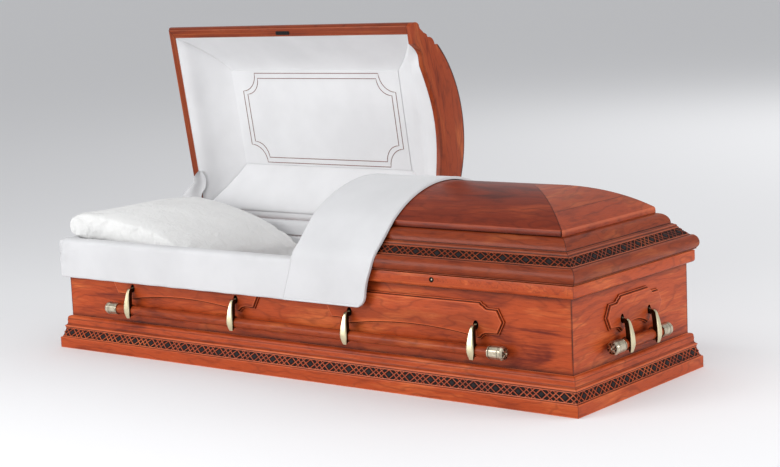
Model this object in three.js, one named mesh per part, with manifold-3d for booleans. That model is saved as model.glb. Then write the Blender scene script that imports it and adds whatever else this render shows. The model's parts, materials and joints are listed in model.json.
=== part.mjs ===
// Half-couch wooden funeral casket: a hollow box of boards on a carved base moulding, two hinged
// lids with a vaulted, hipped crown, swing-bar handles on all four sides and a white cloth interior.
// Millimetres, +Z up, +X towards the foot end, the head end open. The origin is the centre of the
// underside. "Inset" is the distance inwards from the plinth's outer face, the same on all sides.
import * as THREE from 'three';
import { mergeVertices } from 'three/addons/utils/BufferGeometryUtils.js';
import Module from 'manifold-3d';

const wasm = await Module();
wasm.setup();

// Overall sizes
const LENGTH = 2134;             // plinth, head to foot
const WIDTH = 734;               // plinth, side to side
const GAP = 0.3;                 // glue or seating clearance between neighbouring pieces
const OVERCUT = 5;               // how far a cutting shape runs past what it cuts

// Body boards
const WALL = 19;                 // side and end boards
const WALL_INSET = 34;           // outer face of the boards
const WALL_TOP = 333;            // top edge of the boards
const FLOOR = 16;                // bottom board
const RIM_INSET = 15;            // outer face of the rim
const RIM_WIDTH = 47;
const RIM_HEIGHT = 37.7;
const RIM_ROUND = 9;             // rounded lower edge of the rim
const RIM_EASE = 2;              // softened top edges of the rim
const KEYHOLE_FROM_FOOT = 505;
const KEYHOLE_DIAMETER = 12;
const KEYHOLE_DEPTH = 16;
const KEYHOLE_DROP = 15.1;       // centre of the hole below the rim's top

// Base moulding, from the floor upwards
const BLOCK_HEIGHT = 37;         // plain plinth block
const BLOCK_EASE = 2.5;          // softened top edge of the block
const BASE_BAND_SETBACK = 5;     // inset where the carved band starts
const BASE_BAND_RISE = 33;
const BASE_BAND_LEAN = 10;       // how far the band leans inwards
const BASE_BEAD = 8;             // fillet above the band
const COVE_RISE = 22;
const COVE_DEPTH = 4;
const SHOULDER_RISE = 12;        // round shoulder against the boards

// Carved bands
const BAND_LIP = 2.5;            // plain border above and below the carving
const BAND_DEPTH = 1.6;          // ground of the carving below its border
const BAND_PITCH = 81.6;         // one repeat of the lattice
const LOZENGE_WIDTH = 0.5;       // raised lozenge, as a share of the repeat
const LOZENGE_HEIGHT = 0.86;     // and of the carved height

// Lids, closed
const LID_REST = 3;              // felt gap between rim and lid
const LID_INSET = 10;            // lower edge of the lid
const TORUS_BULGE = 6.3;         // how far the round edge stands out
const TORUS_RISE = 46;
const TORUS_SETBACK = 15;        // top of the round edge, in from its foot
const LID_BAND = 25;             // carved band, rise and run alike
const LID_BEAD = 8;
const LID_STEP = 9;              // flat step above the bead
const OVOLO = 34;                // quarter round under the crown
const CROWN_REVEAL = 3;          // crown board set in from the quarter round
const CROWN_BOARD = 20;
const CROWN_RISE = 88;
const CROWN_STEPS = 8;           // facets on each half of the vault
const LID_WOOD = 30;             // width of the wood seen under the lid
const SPLIT_X = 70;              // where the head lid meets the foot lid
const SPLIT_GAP = 2;
const HEADER = 19;               // arched end board of each lid
const CROWN_LAND = 17;           // wood of the crown board round its hollow
// Back of the lid's mouldings, as steps from the corners of their outer face
const LID_BACK = { ledge: 22, ledgeDown: 11, coverIn: 8, coverDown: 17, footIn: 22, bandIn: 16,
  bandDown: 12, lipDown: 14 };

// Arch cut in the headers
const ARCH_HALF = 295;           // half width at the bottom edge
const ARCH_SHOULDER = 242;       // half width at the top of the corner curve
const ARCH_LEDGE = 210;          // half width where the arch springs
const ARCH_LEDGE_RISE = 41;
const ARCH_RISE = 84;

// Hinges
const HINGE_OUT = 5;             // axis outside the rim's outer face
const HINGE_RADIUS = 4;
const HINGE_LENGTH = 76;
const HINGE_LEAF = 28;
const HINGE_LEAF_THICK = 1.6;
const HINGE_FROM_END = 207;      // middle of the outer hinges
const HINGE_FROM_SPLIT = 220;    // middle of the inner hinges
const HEAD_LID_OPEN = 81;        // degrees

// Lid lining
const LINING_THICK = 12;
const LINING_BORDER = 147;       // width of the coved border
const LINING_DEPTH = 109;        // height of the cap panel above the lid's lower edge
const LINING_COVE = 1.6;         // steepness of the cove
const LINING_CLEAR = 0.5;        // between the lining and the wood round it
const LINING_OVER_ARCH = 4;      // lining above the edge of the header's arch
const CAP_PANEL_THICK = 3;
const CAP_PANEL_CLEAR = 1;       // between the border and the cap panel
const LATCH = { length: 65, width: 13, thick: 2, inset: 28 };

// Handles
const BAR_OUT = 26;              // centre of the bar out from the boards
const BAR_HEIGHT = 160;
const BAR_RADIUS = 16.5;
const ARM_FROM_END = 356;        // outermost arm of a long side, in from the plinth's end
const SHORT_ARM_SPACING = 156;
const BAR_BEYOND_ARM = 118;      // end of a long bar, its cap included, past the outermost arm
const SHORT_BAR_BEYOND_ARM = 94;
const ROUND_SIDES = 10;          // facets of bars, caps, collars and knuckles
const CAP_RADIUS = 20;
const CAP_LENGTH = 62;
const CAP_FOOT = 5;             // bevel where the cap meets the bar
const PIVOT_HEIGHT = 232;
const PIVOT_RADIUS = 5.5;
const PIVOT_LENGTH = 9;
const COLLAR_WALL = 3;
const COLLAR_WIDTH = 10;
const COLLAR_CLEAR = 0.36;       // between collar and bar
const ARM_THICK = 6.5;
const ARM_WIDTH = 26;
const ARM_CLEAR = 1;             // back of the arm in front of the bar
const ARM_FOOT = 135;            // height of the arm's lower end
const ARM_WAIST = 10;            // ends of the widest stretch, above and below the bar's middle
const ARM_HOOK = { reach: 7, rise: 8, width: 8, thick: 4 };
const ARM_NECK = { half: 3.5, reach: 12, rise: 6 };

// Applied panels
const PANEL_THICK = 8;
const PANEL_STEP = 4;            // height of the lower step
const PANEL_EDGE = 5;            // width of each step in the edge
const PANEL_TOP = 303;
const PANEL_SHOULDER = 285;
const PANEL_POINT = 246;         // height of the pointed ends
const PANEL_HIP = 206;
const PANEL_BOTTOM = 190;
const PANEL_ARCH = 20;           // how far the bottom edge arches up
const PANEL_BEYOND_ARM = 97;     // pointed end beyond the arm's centre
const PANEL_TIP = 21;            // length of the pointed end
const PANEL_EAR = 53;            // inner end of the shoulder, in from the point
const PANEL_OGEE = { low: 68, top: 85, dip: 9 };
const PANEL_FOOT = { corner: 80, flat: 93, ease: 2 };
const ARM_SLOT = { width: 20, height: 34, rise: 2 };

// Soft goods
const MATTRESS_TOP = 250;
const BODY_LINING = 10;
const BEDDING_CLEAR = 1;         // above the floor board and under the rim
const CLOTH = 3;                 // clearance of loose cloth
const MATTRESS_EASE = 14;        // sloping edge of the mattress
const SKIRT_THICK = 6;
const SKIRT_CLEAR = 0.5;         // between the skirt and the rim
const SKIRT_ABOVE_PIVOT = 20;    // hem of the skirt above the handles' pivots
const SKIRT_ROLL = 14;           // height of the rolled edge above the rim
const SKIRT_SOFT = { out: 4, in: 16, back: 12, fall: 3.5 };
const SKIRT_FROM_SPLIT = 1.5;
const SKIRT_FROM_BACK = 8;       // end of the head end's skirt, in from the rim's back face
const BACK_ROLL = { inset: 9, edge: 6, rise: 11, fall: 8 };
const OVERLAY_THICK = 8;
const OVERLAY_LIFT = 1.5;        // the throw's underside above what it lies on
const OVERLAY_HEM = 1;           // its hem above the skirt's
const OVERLAY_ROUND = 18;        // height of its rounded corner
const OVERLAY_WAIST = 42;        // below the lid, where the fall of its edges changes
const OVERLAY_CHEST = 17;        // above the lid's lower edge
const OVERLAY_BACK = 230;        // how far the throw reaches over the back of the crown
// Its edges, as distances from the split of the lids, from the hem up to the crown
const OVERLAY_HEAD_EDGE = [-82, -80, -56, -37, -36, -28, -8];
const OVERLAY_FOOT_EDGE = [176, 214, 255, 286, 294, 299, 299];
const PILLOW = { fromEnd: 33, length: 552, fromSide: 73, flare: 14, aboveMattress: 42, aboveRim: 53,
  top: 66, under: 62 };
const PILLOW_FULLNESS = 0.42;    // how squarely it swells from its seam
const PILLOW_WAIST = 0.035;      // how far its sides pull in between the corners

// Values worked out from the sizes above
const HALF_L = LENGTH / 2;
const HALF_W = WIDTH / 2;
const ARM_SPACING = (LENGTH - 2 * ARM_FROM_END) / 3;
const LONG_BAR = 1.5 * ARM_SPACING + BAR_BEYOND_ARM;
const SHORT_BAR = SHORT_ARM_SPACING / 2 + SHORT_BAR_BEYOND_ARM;
const SKIRT_BOTTOM = PIVOT_HEIGHT + SKIRT_ABOVE_PIVOT;
const OVERLAY_BOTTOM = SKIRT_BOTTOM + OVERLAY_HEM;
const HINGE_PLACES = {
  head: [-HALF_L + HINGE_FROM_END, SPLIT_X - HINGE_FROM_SPLIT],
  foot: [SPLIT_X + HINGE_FROM_SPLIT, HALF_L - HINGE_FROM_END],
};
const WALL_INNER = WALL_INSET + WALL;
const RIM_INNER = RIM_INSET + RIM_WIDTH;
const RIM_TOP = WALL_TOP + GAP + RIM_HEIGHT;
const LID_BOTTOM = RIM_TOP + LID_REST;
const BAND_FOOT = { inset: LID_INSET + TORUS_SETBACK + 1, z: LID_BOTTOM + TORUS_RISE + 1 };
const BAND_TOP = { inset: BAND_FOOT.inset + LID_BAND, z: BAND_FOOT.z + LID_BAND };
const BEAD_INSET = BAND_TOP.inset + 3;
const STEP_INSET = BEAD_INSET + LID_STEP;
const OVOLO_FOOT = { inset: STEP_INSET + 4, z: BAND_TOP.z + LID_BEAD + 4 };
const OVOLO_TOP = { inset: OVOLO_FOOT.inset + OVOLO, z: OVOLO_FOOT.z + OVOLO };
const CROWN_INSET = OVOLO_TOP.inset + CROWN_REVEAL;
const CROWN_BASE = OVOLO_TOP.z + GAP;
const CROWN_SPRING = CROWN_BASE + CROWN_BOARD;
const CROWN_HALF = HALF_W - CROWN_INSET;
const CROWN_RADIUS = (CROWN_HALF ** 2 + CROWN_RISE ** 2) / (2 * CROWN_RISE);
const CROWN_APEX = CROWN_SPRING + CROWN_RISE;
const HINGE_Y = HALF_W - RIM_INSET + HINGE_OUT;
const HINGE_Z = LID_BOTTOM - 1;
const WALL_Y = HALF_W - WALL_INSET;
const WALL_X = HALF_L - WALL_INSET;
const PIVOT_OUT = PANEL_THICK + 1;

// Finishes
const finish = (color, roughness, metalness = 0) => new THREE.MeshStandardMaterial({
  color, roughness, metalness });
const CHERRY = finish(0xa04628, 0.35);
const CHERRY_DARK = finish(0x7c2f1c, 0.35);
const CLOTH_WHITE = finish(0xf1f1f0, 0.85);
const PILLOW_WHITE = finish(0xe6e6e0, 0.8);
const GOLD = finish(0xc9b78c, 0.35, 1);
const ANTIQUE = finish(0x9c9383, 0.4, 1);
const BLACK = finish(0x17140f, 0.5, 0.6);

// Solid helpers
function toSolid(geometry) {
  const plain = geometry.clone();
  plain.deleteAttribute('normal');
  plain.deleteAttribute('uv');
  const merged = mergeVertices(plain, 1e-4);
  const mesh = new wasm.Mesh({
    numProp: 3,
    vertProperties: new Float32Array(merged.attributes.position.array),
    triVerts: new Uint32Array(merged.index.array),
  });
  return new wasm.Manifold(mesh);
}

function toGeometry(solid) {
  const mesh = solid.getMesh();
  const geometry = new THREE.BufferGeometry();
  geometry.setAttribute('position', new THREE.BufferAttribute(mesh.vertProperties, 3));
  geometry.setIndex(new THREE.BufferAttribute(mesh.triVerts, 1));
  return geometry;
}

function signedVolume(points, faces) {
  let sum = 0;
  for (const [a, b, c] of faces) sum += points[a].dot(points[b].clone().cross(points[c]));
  return sum / 6;
}

function meshOf(points, faces) {
  const inward = signedVolume(points, faces) < 0;
  const index = faces.flatMap(([a, b, c]) => (inward ? [a, c, b] : [a, b, c]));
  const geometry = new THREE.BufferGeometry();
  const flat = points.flatMap((p) => [p.x, p.y, p.z]);
  geometry.setAttribute('position', new THREE.Float32BufferAttribute(flat, 3));
  geometry.setIndex(index);
  return geometry;
}

// Skin a row of loops that all have the same number of points; closed runs need no end faces.
function loft(loops, { closed = false, outline = null } = {}) {
  const count = loops[0].length;
  const points = loops.flat();
  const faces = [];
  const runs = closed ? loops.length : loops.length - 1;
  for (let i = 0; i < runs; i += 1) {
    const here = i * count;
    const next = ((i + 1) % loops.length) * count;
    for (let j = 0; j < count; j += 1) {
      const k = (j + 1) % count;
      faces.push([here + j, here + k, next + k], [here + j, next + k, next + j]);
    }
  }
  if (!closed) {
    const flat = outline.map(([u, v]) => new THREE.Vector2(u, v));
    const last = (loops.length - 1) * count;
    for (const [a, b, c] of THREE.ShapeUtils.triangulateShape(flat, [])) {
      const turned = THREE.ShapeUtils.area(flat) > 0;
      const near = turned ? [a, c, b] : [a, b, c];
      const far = turned ? [a, b, c] : [a, c, b];
      faces.push(near, far.map((n) => n + last));
    }
  }
  return { points, faces };
}

const skin = (loops, options) => {
  const { points, faces } = loft(loops, options);
  return meshOf(points, faces);
};

// Extrude an outline of [u, v] pairs between two stations given by place(u, v, end).
function board(outline, place) {
  const near = outline.map(([u, v]) => place(u, v, 0));
  const far = outline.map(([u, v]) => place(u, v, 1));
  return skin([near, far], { outline });
}

// A closed frame of one section, mitred at the four corners of the box.
function ring(section, place = (sx, sy, inset, z) => new THREE.Vector3(
  sx * (HALF_L - inset), sy * (HALF_W - inset), z)) {
  const corners = [[-1, -1], [1, -1], [1, 1], [-1, 1]];
  const loops = corners.map(([sx, sy]) => section.map(([i, z]) => place(sx, sy, i, z)));
  return skin(loops, { closed: true });
}

// Three sides of a frame, open at the plane x = cut, mitred at the two corners of one end.
function openRing(section, cut, end) {
  const at = (x, y, z) => new THREE.Vector3(x, y, z);
  const loops = [
    section.map(([i, z]) => at(cut, -(HALF_W - i), z)),
    section.map(([i, z]) => at(end * (HALF_L - i), -(HALF_W - i), z)),
    section.map(([i, z]) => at(end * (HALF_L - i), HALF_W - i, z)),
    section.map(([i, z]) => at(cut, HALF_W - i, z)),
  ];
  return skin(loops, { outline: section });
}

const nodes = new THREE.Group();
function add(name, geometry, material, parent = nodes) {
  const mesh = new THREE.Mesh(geometry, material);
  mesh.name = name;
  parent.add(mesh);
  return mesh;
}

function box(x0, x1, y0, y1, z0, z1) {
  const geometry = new THREE.BoxGeometry(x1 - x0, y1 - y0, z1 - z0);
  return geometry.translate((x0 + x1) / 2, (y0 + y1) / 2, (z0 + z1) / 2);
}

// Profiles, as [inset, z] pairs

// A carved band between two points: a lip, a sunk ground and a second lip.
function bandSection(from, to) {
  const length = Math.hypot(to.inset - from.inset, to.z - from.z);
  const along = [(to.inset - from.inset) / length, (to.z - from.z) / length];
  const inward = [along[1], -along[0]];
  const at = (s, d) => [from.inset + along[0] * s + inward[0] * d, from.z + along[1] * s + inward[1] * d];
  const near = BAND_LIP;
  const far = length - BAND_LIP;
  return {
    length, along, inward, points: [at(0, 0), at(near, 0), at(near, BAND_DEPTH),
      at(far, BAND_DEPTH), at(far, 0), at(length, 0)], middle: at(length / 2, BAND_DEPTH),
  };
}

const arcPoints = (cx, cz, r, from, to, steps) => Array.from({ length: steps + 1 }, (_, i) => {
  const angle = THREE.MathUtils.degToRad(from + ((to - from) * i) / steps);
  return [cx + r * Math.cos(angle), cz + r * Math.sin(angle)];
});

const baseBand = bandSection(
  { inset: BASE_BAND_SETBACK, z: BLOCK_HEIGHT + 1 },
  { inset: BASE_BAND_SETBACK + BASE_BAND_LEAN, z: BLOCK_HEIGHT + BASE_BAND_RISE });

function baseSection() {
  const [topInset, topZ] = baseBand.points[5];
  const beadTop = topZ + BASE_BEAD;
  const coveTop = beadTop + COVE_RISE;
  const shoulderTop = coveTop + SHOULDER_RISE;
  const back = WALL_INSET - GAP;
  return [
    [back, 0], [0, 0], [0, BLOCK_HEIGHT - 2 * BLOCK_EASE], [BLOCK_EASE, BLOCK_HEIGHT],
    ...baseBand.points,
    [topInset - 2, topZ + 2], [topInset - 2, beadTop - 2], [topInset, beadTop],
    [topInset + COVE_DEPTH + 1, beadTop + COVE_RISE * 0.3],
    [topInset + COVE_DEPTH, beadTop + COVE_RISE * 0.7],
    [topInset + COVE_DEPTH + 2, coveTop], [topInset + COVE_DEPTH + 8, shoulderTop - 2],
    [back, shoulderTop],
  ];
}

function rimSection() {
  const low = WALL_TOP + GAP;
  return [
    [RIM_INNER, low], [RIM_INSET + RIM_ROUND, low],
    [RIM_INSET + RIM_ROUND * 0.3, low + RIM_ROUND * 0.3], [RIM_INSET, low + RIM_ROUND],
    [RIM_INSET, RIM_TOP - RIM_EASE], [RIM_INSET + RIM_EASE, RIM_TOP],
    [RIM_INNER - RIM_EASE, RIM_TOP], [RIM_INNER, RIM_TOP - RIM_EASE],
  ];
}

const lidBand = bandSection(BAND_FOOT, BAND_TOP);

// Outside of the lid from its lower edge up to the foot of the crown board.
function lidFace() {
  const widest = LID_INSET - TORUS_BULGE;
  return [
    [LID_INSET + 2, LID_BOTTOM], [LID_INSET, LID_BOTTOM + 2],
    [widest + 1.2, LID_BOTTOM + TORUS_RISE * 0.17], [widest, LID_BOTTOM + TORUS_RISE * 0.37],
    [widest + 3.2, LID_BOTTOM + TORUS_RISE * 0.62], [widest + 10, LID_BOTTOM + TORUS_RISE * 0.86],
    [LID_INSET + TORUS_SETBACK, LID_BOTTOM + TORUS_RISE],
    ...lidBand.points,
    [BEAD_INSET, BAND_TOP.z + 1], [BEAD_INSET, BAND_TOP.z + LID_BEAD],
    [STEP_INSET, BAND_TOP.z + LID_BEAD + 3], [OVOLO_FOOT.inset, OVOLO_FOOT.z],
    ...arcPoints(OVOLO_TOP.inset, OVOLO_FOOT.z, OVOLO, 180, 90, 4).slice(1),
  ];
}

// Height of the crown at a given inset; the ends are vaulted as the sides are.
function crownHeight(inset, sink = 0) {
  const across = Math.max(HALF_W - inset, 0);
  const radius = CROWN_RADIUS - sink;
  return CROWN_APEX - CROWN_RADIUS + Math.sqrt(Math.max(radius ** 2 - across ** 2, 0));
}

function crownFace(steps = CROWN_STEPS) {
  const points = [[CROWN_INSET - 3.5, CROWN_BASE + CROWN_BOARD * 0.5]];
  for (let i = 0; i <= steps; i += 1) {
    const inset = CROWN_INSET + (CROWN_HALF * i) / steps;
    points.push([inset, crownHeight(inset)]);
  }
  return points;
}

function frameSection() {
  const lip = LID_INSET + LID_WOOD;
  const back = LID_BACK;
  const ledge = OVOLO_TOP.inset + back.ledge;
  return [
    ...lidFace(), [ledge, OVOLO_TOP.z], [ledge, OVOLO_TOP.z - back.ledgeDown],
    [OVOLO_TOP.inset + back.coverIn, OVOLO_TOP.z - back.coverDown],
    [OVOLO_FOOT.inset + back.footIn, OVOLO_FOOT.z],
    [BAND_TOP.inset + back.bandIn, BAND_TOP.z - back.bandDown],
    [lip, BAND_FOOT.z - back.lipDown], [lip, LID_BOTTOM],
  ];
}

// Rows of raised lozenges in a sunk band
function lozenge(half, rise) {
  const sunk = 0.5;
  const shape = new THREE.ConeGeometry(1, BAND_DEPTH + sunk, 4, 1);
  return shape.translate(0, (BAND_DEPTH + sunk) / 2 - sunk, 0).scale(half, 1, rise);
}

function lozengeRow(band, from, to, outward) {
  const run = new THREE.Vector3().subVectors(to, from);
  const count = Math.max(1, Math.round(run.length() / BAND_PITCH));
  const pitch = run.length() / count;
  const dir = run.clone().normalize();
  const normal = new THREE.Vector3(outward.x * band.inward[0], outward.y * band.inward[0],
    -band.inward[1]).normalize();
  const up = new THREE.Vector3().crossVectors(dir, normal);
  const half = (pitch * LOZENGE_WIDTH) / 2;
  const rise = ((band.length - 2 * BAND_LIP) * LOZENGE_HEIGHT) / 2;
  const basis = new THREE.Matrix4().makeBasis(dir, normal, up);
  return Array.from({ length: count }, (_, i) => {
    const place = from.clone().addScaledVector(dir, pitch * (i + 0.5));
    return toSolid(lozenge(half, rise).applyMatrix4(basis.clone().setPosition(place)));
  });
}

const withLozenges = (geometry, rows) => toGeometry(
  wasm.Manifold.union([toSolid(geometry), ...rows.flat()]));

const vec = (x, y, z) => new THREE.Vector3(x, y, z);
function bandRows(band, x0, x1, ends) {
  const [inset, z] = band.middle;
  const y = HALF_W - inset;
  const rows = [
    lozengeRow(band, vec(x0, -y, z), vec(x1, -y, z), vec(0, -1, 0)),
    lozengeRow(band, vec(x1, y, z), vec(x0, y, z), vec(0, 1, 0)),
  ];
  for (const end of ends) {
    const x = end * (HALF_L - inset);
    rows.push(lozengeRow(band, vec(x, -end * y, z), vec(x, end * y, z), vec(end, 0, 0)));
  }
  return rows;
}

// Body
function bodyBoards() {
  const section = [[WALL_INSET, 0], [WALL_INNER, 0], [WALL_INNER, WALL_TOP], [WALL_INSET, WALL_TOP]];
  const seam = GAP / 2;
  for (const [name, sy] of [['front', -1], ['back', 1]]) {
    add(`side_board_${name}`, board(section, (i, z, end) => vec(
      (end ? 1 : -1) * (HALF_L - i - seam), sy * (HALF_W - i), z)), CHERRY);
  }
  for (const [name, sx] of [['head', -1], ['foot', 1]]) {
    add(`end_board_${name}`, board(section, (i, z, end) => vec(
      sx * (HALF_L - i), (end ? 1 : -1) * (HALF_W - i - seam), z)), CHERRY);
  }
  const inner = WALL_INNER + GAP;
  add('floor_board', box(-HALF_L + inner, HALF_L - inner, -HALF_W + inner, HALF_W - inner, 0, FLOOR),
    CHERRY_DARK);
}

function baseMoulding() {
  const inset = baseBand.middle[0];
  const reach = HALF_L - inset;
  add('base_moulding', withLozenges(ring(baseSection()),
    bandRows(baseBand, -reach, reach, [-1, 1])), CHERRY);
}

function rimMoulding() {
  const hole = new THREE.CylinderGeometry(KEYHOLE_DIAMETER / 2, KEYHOLE_DIAMETER / 2,
    2 * KEYHOLE_DEPTH, 12);
  hole.translate(HALF_L - KEYHOLE_FROM_FOOT, -(HALF_W - RIM_INSET), RIM_TOP - KEYHOLE_DROP);
  add('rim_moulding', toGeometry(toSolid(ring(rimSection())).subtract(toSolid(hole))), CHERRY);
}

// Applied panels: an outline with ogee shoulders, pointed ends and an arched foot
function panelOutline(half) {
  const right = [
    [half - PANEL_OGEE.top, PANEL_TOP], [half - PANEL_OGEE.low, PANEL_TOP - PANEL_OGEE.dip],
    [half - PANEL_EAR, PANEL_SHOULDER], [half - PANEL_TIP, PANEL_SHOULDER], [half, PANEL_POINT],
    [half - PANEL_TIP, PANEL_HIP], [half - PANEL_EAR, PANEL_HIP],
    [half - PANEL_FOOT.corner, PANEL_BOTTOM + PANEL_FOOT.ease], [half - PANEL_FOOT.flat, PANEL_BOTTOM],
  ];
  const span = half - PANEL_FOOT.flat;
  const arch = [0.86, 0.5, 0].map((s) => [span * s, PANEL_BOTTOM
    + PANEL_ARCH * Math.cos((s * Math.PI) / 2) ** 0.8]);
  const side = [...right, ...arch];
  const left = side.slice(0, -1).reverse().map(([u, z]) => [-u, z]);
  return [...side, ...left];
}

// Move every edge of an outline inwards by the same distance.
function shrink(outline, distance) {
  const sign = Math.sign(THREE.ShapeUtils.area(outline.map(([u, v]) => new THREE.Vector2(u, v))));
  const count = outline.length;
  const edge = (a, b) => {
    const length = Math.hypot(b[0] - a[0], b[1] - a[1]);
    return [(-(b[1] - a[1]) / length) * sign, ((b[0] - a[0]) / length) * sign];
  };
  return outline.map((p, i) => {
    const n0 = edge(outline[(i + count - 1) % count], p);
    const n1 = edge(p, outline[(i + 1) % count]);
    const scale = distance / (1 + n0[0] * n1[0] + n0[1] * n1[1]);
    return [p[0] + (n0[0] + n1[0]) * scale, p[1] + (n0[1] + n1[1]) * scale];
  });
}

function panelSolid(half, arms, place) {
  const outline = panelOutline(half);
  const levels = [
    [0, GAP], [0, PANEL_STEP], [PANEL_EDGE, PANEL_STEP], [PANEL_EDGE, PANEL_THICK],
  ];
  const loops = levels.map(([inwards, out]) => shrink(outline, inwards).map(([u, z]) => place(u, z, out)));
  let solid = toSolid(skin(loops, { outline }));
  for (const u of arms) {
    const slot = new THREE.CylinderGeometry(1, 1, 4 * PANEL_THICK, 8);
    const turn = place(1, 0, 0).sub(place(0, 0, 0));
    const centre = place(u, PIVOT_HEIGHT + ARM_SLOT.rise, PANEL_THICK / 2);
    slot.scale(ARM_SLOT.width / 2, 1, ARM_SLOT.height / 2);
    if (Math.abs(turn.y) > 0.5) slot.rotateZ(Math.PI / 2);
    slot.translate(centre.x, centre.y, centre.z);
    solid = solid.subtract(toSolid(slot));
  }
  return toGeometry(solid);
}

function appliedPanels() {
  const longHalf = ARM_SPACING / 2 + PANEL_BEYOND_ARM;
  const shortHalf = SHORT_ARM_SPACING / 2 + PANEL_BEYOND_ARM;
  for (const [side, sy] of [['front', -1], ['back', 1]]) {
    for (const [end, sx] of [['head', -1], ['foot', 1]]) {
      add(`panel_${side}_${end}`, panelSolid(longHalf, [-ARM_SPACING / 2, ARM_SPACING / 2],
        (u, z, out) => vec(sx * ARM_SPACING + u, sy * (WALL_Y + out), z)), CHERRY);
    }
  }
  for (const [end, sx] of [['head', -1], ['foot', 1]]) {
    add(`panel_end_${end}`, panelSolid(shortHalf, [-SHORT_ARM_SPACING / 2, SHORT_ARM_SPACING / 2],
      (u, z, out) => vec(sx * (WALL_X + out), u, z)), CHERRY);
  }
}

// Lids
function lidFrame(name, cut, end, parent) {
  const [inset] = lidBand.middle;
  const far = end * (HALF_L - inset);
  const rows = bandRows(lidBand, Math.min(cut, far), Math.max(cut, far), [end]);
  const solid = withLozenges(openRing(frameSection(), cut, end), rows);
  return add(`${name}_frame`, hingeRelief(solid, end), CHERRY, parent);
}

// Clearance in the lid for the hinge knuckles on its axis.
function hingeRelief(geometry, end) {
  let solid = toSolid(geometry);
  for (const x of HINGE_PLACES[end < 0 ? 'head' : 'foot']) {
    const knuckle = new THREE.CylinderGeometry(HINGE_RADIUS + 1, HINGE_RADIUS + 1,
      HINGE_LENGTH + 4, 12).rotateZ(Math.PI / 2).translate(x, HINGE_Y, HINGE_Z);
    solid = solid.subtract(toSolid(knuckle));
  }
  return toGeometry(solid);
}

// A vault: the section across the box, run along X, cut to the hip by the same section at the end.
function vault(sink, base, land, from, end) {
  const half = CROWN_HALF - land;
  const heights = (steps) => Array.from({ length: steps + 1 }, (_, i) => {
    const inset = HALF_W - half + (half * i) / steps;
    return [inset, crownHeight(inset, sink)];
  });
  const rise = heights(CROWN_STEPS);
  const across = [[half, base], ...rise.map(([inset, z]) => [HALF_W - inset, z]),
    ...rise.slice(0, -1).reverse().map(([inset, z]) => [inset - HALF_W, z]), [-half, base]];
  const reach = HALF_L - HALF_W + half;
  const along = [[reach, base], ...rise.map(([inset, z]) => [HALF_L - inset, z]),
    [end * from, rise.at(-1)[1]], [end * from, base]].map(([x, z]) => [end * x, z]);
  const long = board(across, (y, z, far) => vec(far ? end * (reach + OVERCUT) : from, y, z));
  const hip = board(along, (x, z, far) => vec(x, far ? half + OVERCUT : -half - OVERCUT, z));
  return toSolid(long).intersect(toSolid(hip));
}

function lidCrown(name, cut, end, parent) {
  const outer = vault(0, CROWN_BASE, 0, cut, end);
  const inner = vault(CROWN_BOARD, CROWN_BASE - OVERCUT, CROWN_LAND, cut - end * OVERCUT, end);
  const shell = outer.subtract(inner);
  const tip = HALF_L - HALF_W;
  const reach = CROWN_HALF + OVERCUT;
  const wedge = (shift) => toSolid(board(
    [[tip - shift, 0], [tip + reach, -reach - shift], [tip + reach, reach + shift]],
    (x, y, far) => vec(end * x, y, far ? CROWN_APEX + OVERCUT : CROWN_BASE - OVERCUT)));
  const edge = GAP * 0.7;
  add(`${name}_crown`, toGeometry(shell.subtract(wedge(edge))), CHERRY, parent);
  add(`${name}_hip`, toGeometry(shell.intersect(wedge(-edge))), CHERRY, parent);
}

function archHeight(y) {
  const across = Math.abs(y);
  if (across > ARCH_HALF) return LID_BOTTOM;
  if (across > ARCH_SHOULDER) {
    const share = (ARCH_HALF - across) / (ARCH_HALF - ARCH_SHOULDER);
    return LID_BOTTOM + ARCH_LEDGE_RISE * Math.sin((share * Math.PI) / 2);
  }
  if (across > ARCH_LEDGE) return LID_BOTTOM + ARCH_LEDGE_RISE;
  const share = 1 - across / ARCH_LEDGE;
  return LID_BOTTOM + ARCH_LEDGE_RISE + (ARCH_RISE - ARCH_LEDGE_RISE) * Math.sin((share * Math.PI) / 2);
}

function header(name, from, to, end, parent) {
  const face = [...lidFace(), ...crownFace(6)].map(([inset, z]) => [HALF_W - inset, z]);
  const outside = [...face, ...face.slice(0, -1).reverse().map(([y, z]) => [-y, z])];
  const corner = [1, 0.75, 0.4, 0].map((s) => ARCH_SHOULDER + (ARCH_HALF - ARCH_SHOULDER) * s);
  const arch = [1, 0.8, 0.56, 0.3, 0].map((s) => ARCH_LEDGE * s);
  const left = [...corner, ...arch].map((y) => -y);
  const stops = [...left, ...left.slice(0, -1).reverse().map((y) => -y)];
  const inside = stops.map((y) => [y, archHeight(y)]);
  const outline = [...outside, ...inside];
  const solid = board(outline, (y, z, far) => vec(far ? to : from, y, z));
  return add(`${name}_header`, solid, CHERRY, parent);
}

function lid(name, end, parent) {
  const face = SPLIT_X + (end * SPLIT_GAP) / 2;
  const inner = face + end * HEADER;
  header(name, face, inner, end, parent);
  lidFrame(name, inner + end * GAP, end, parent);
  lidCrown(name, inner + end * GAP, end, parent);
}

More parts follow.
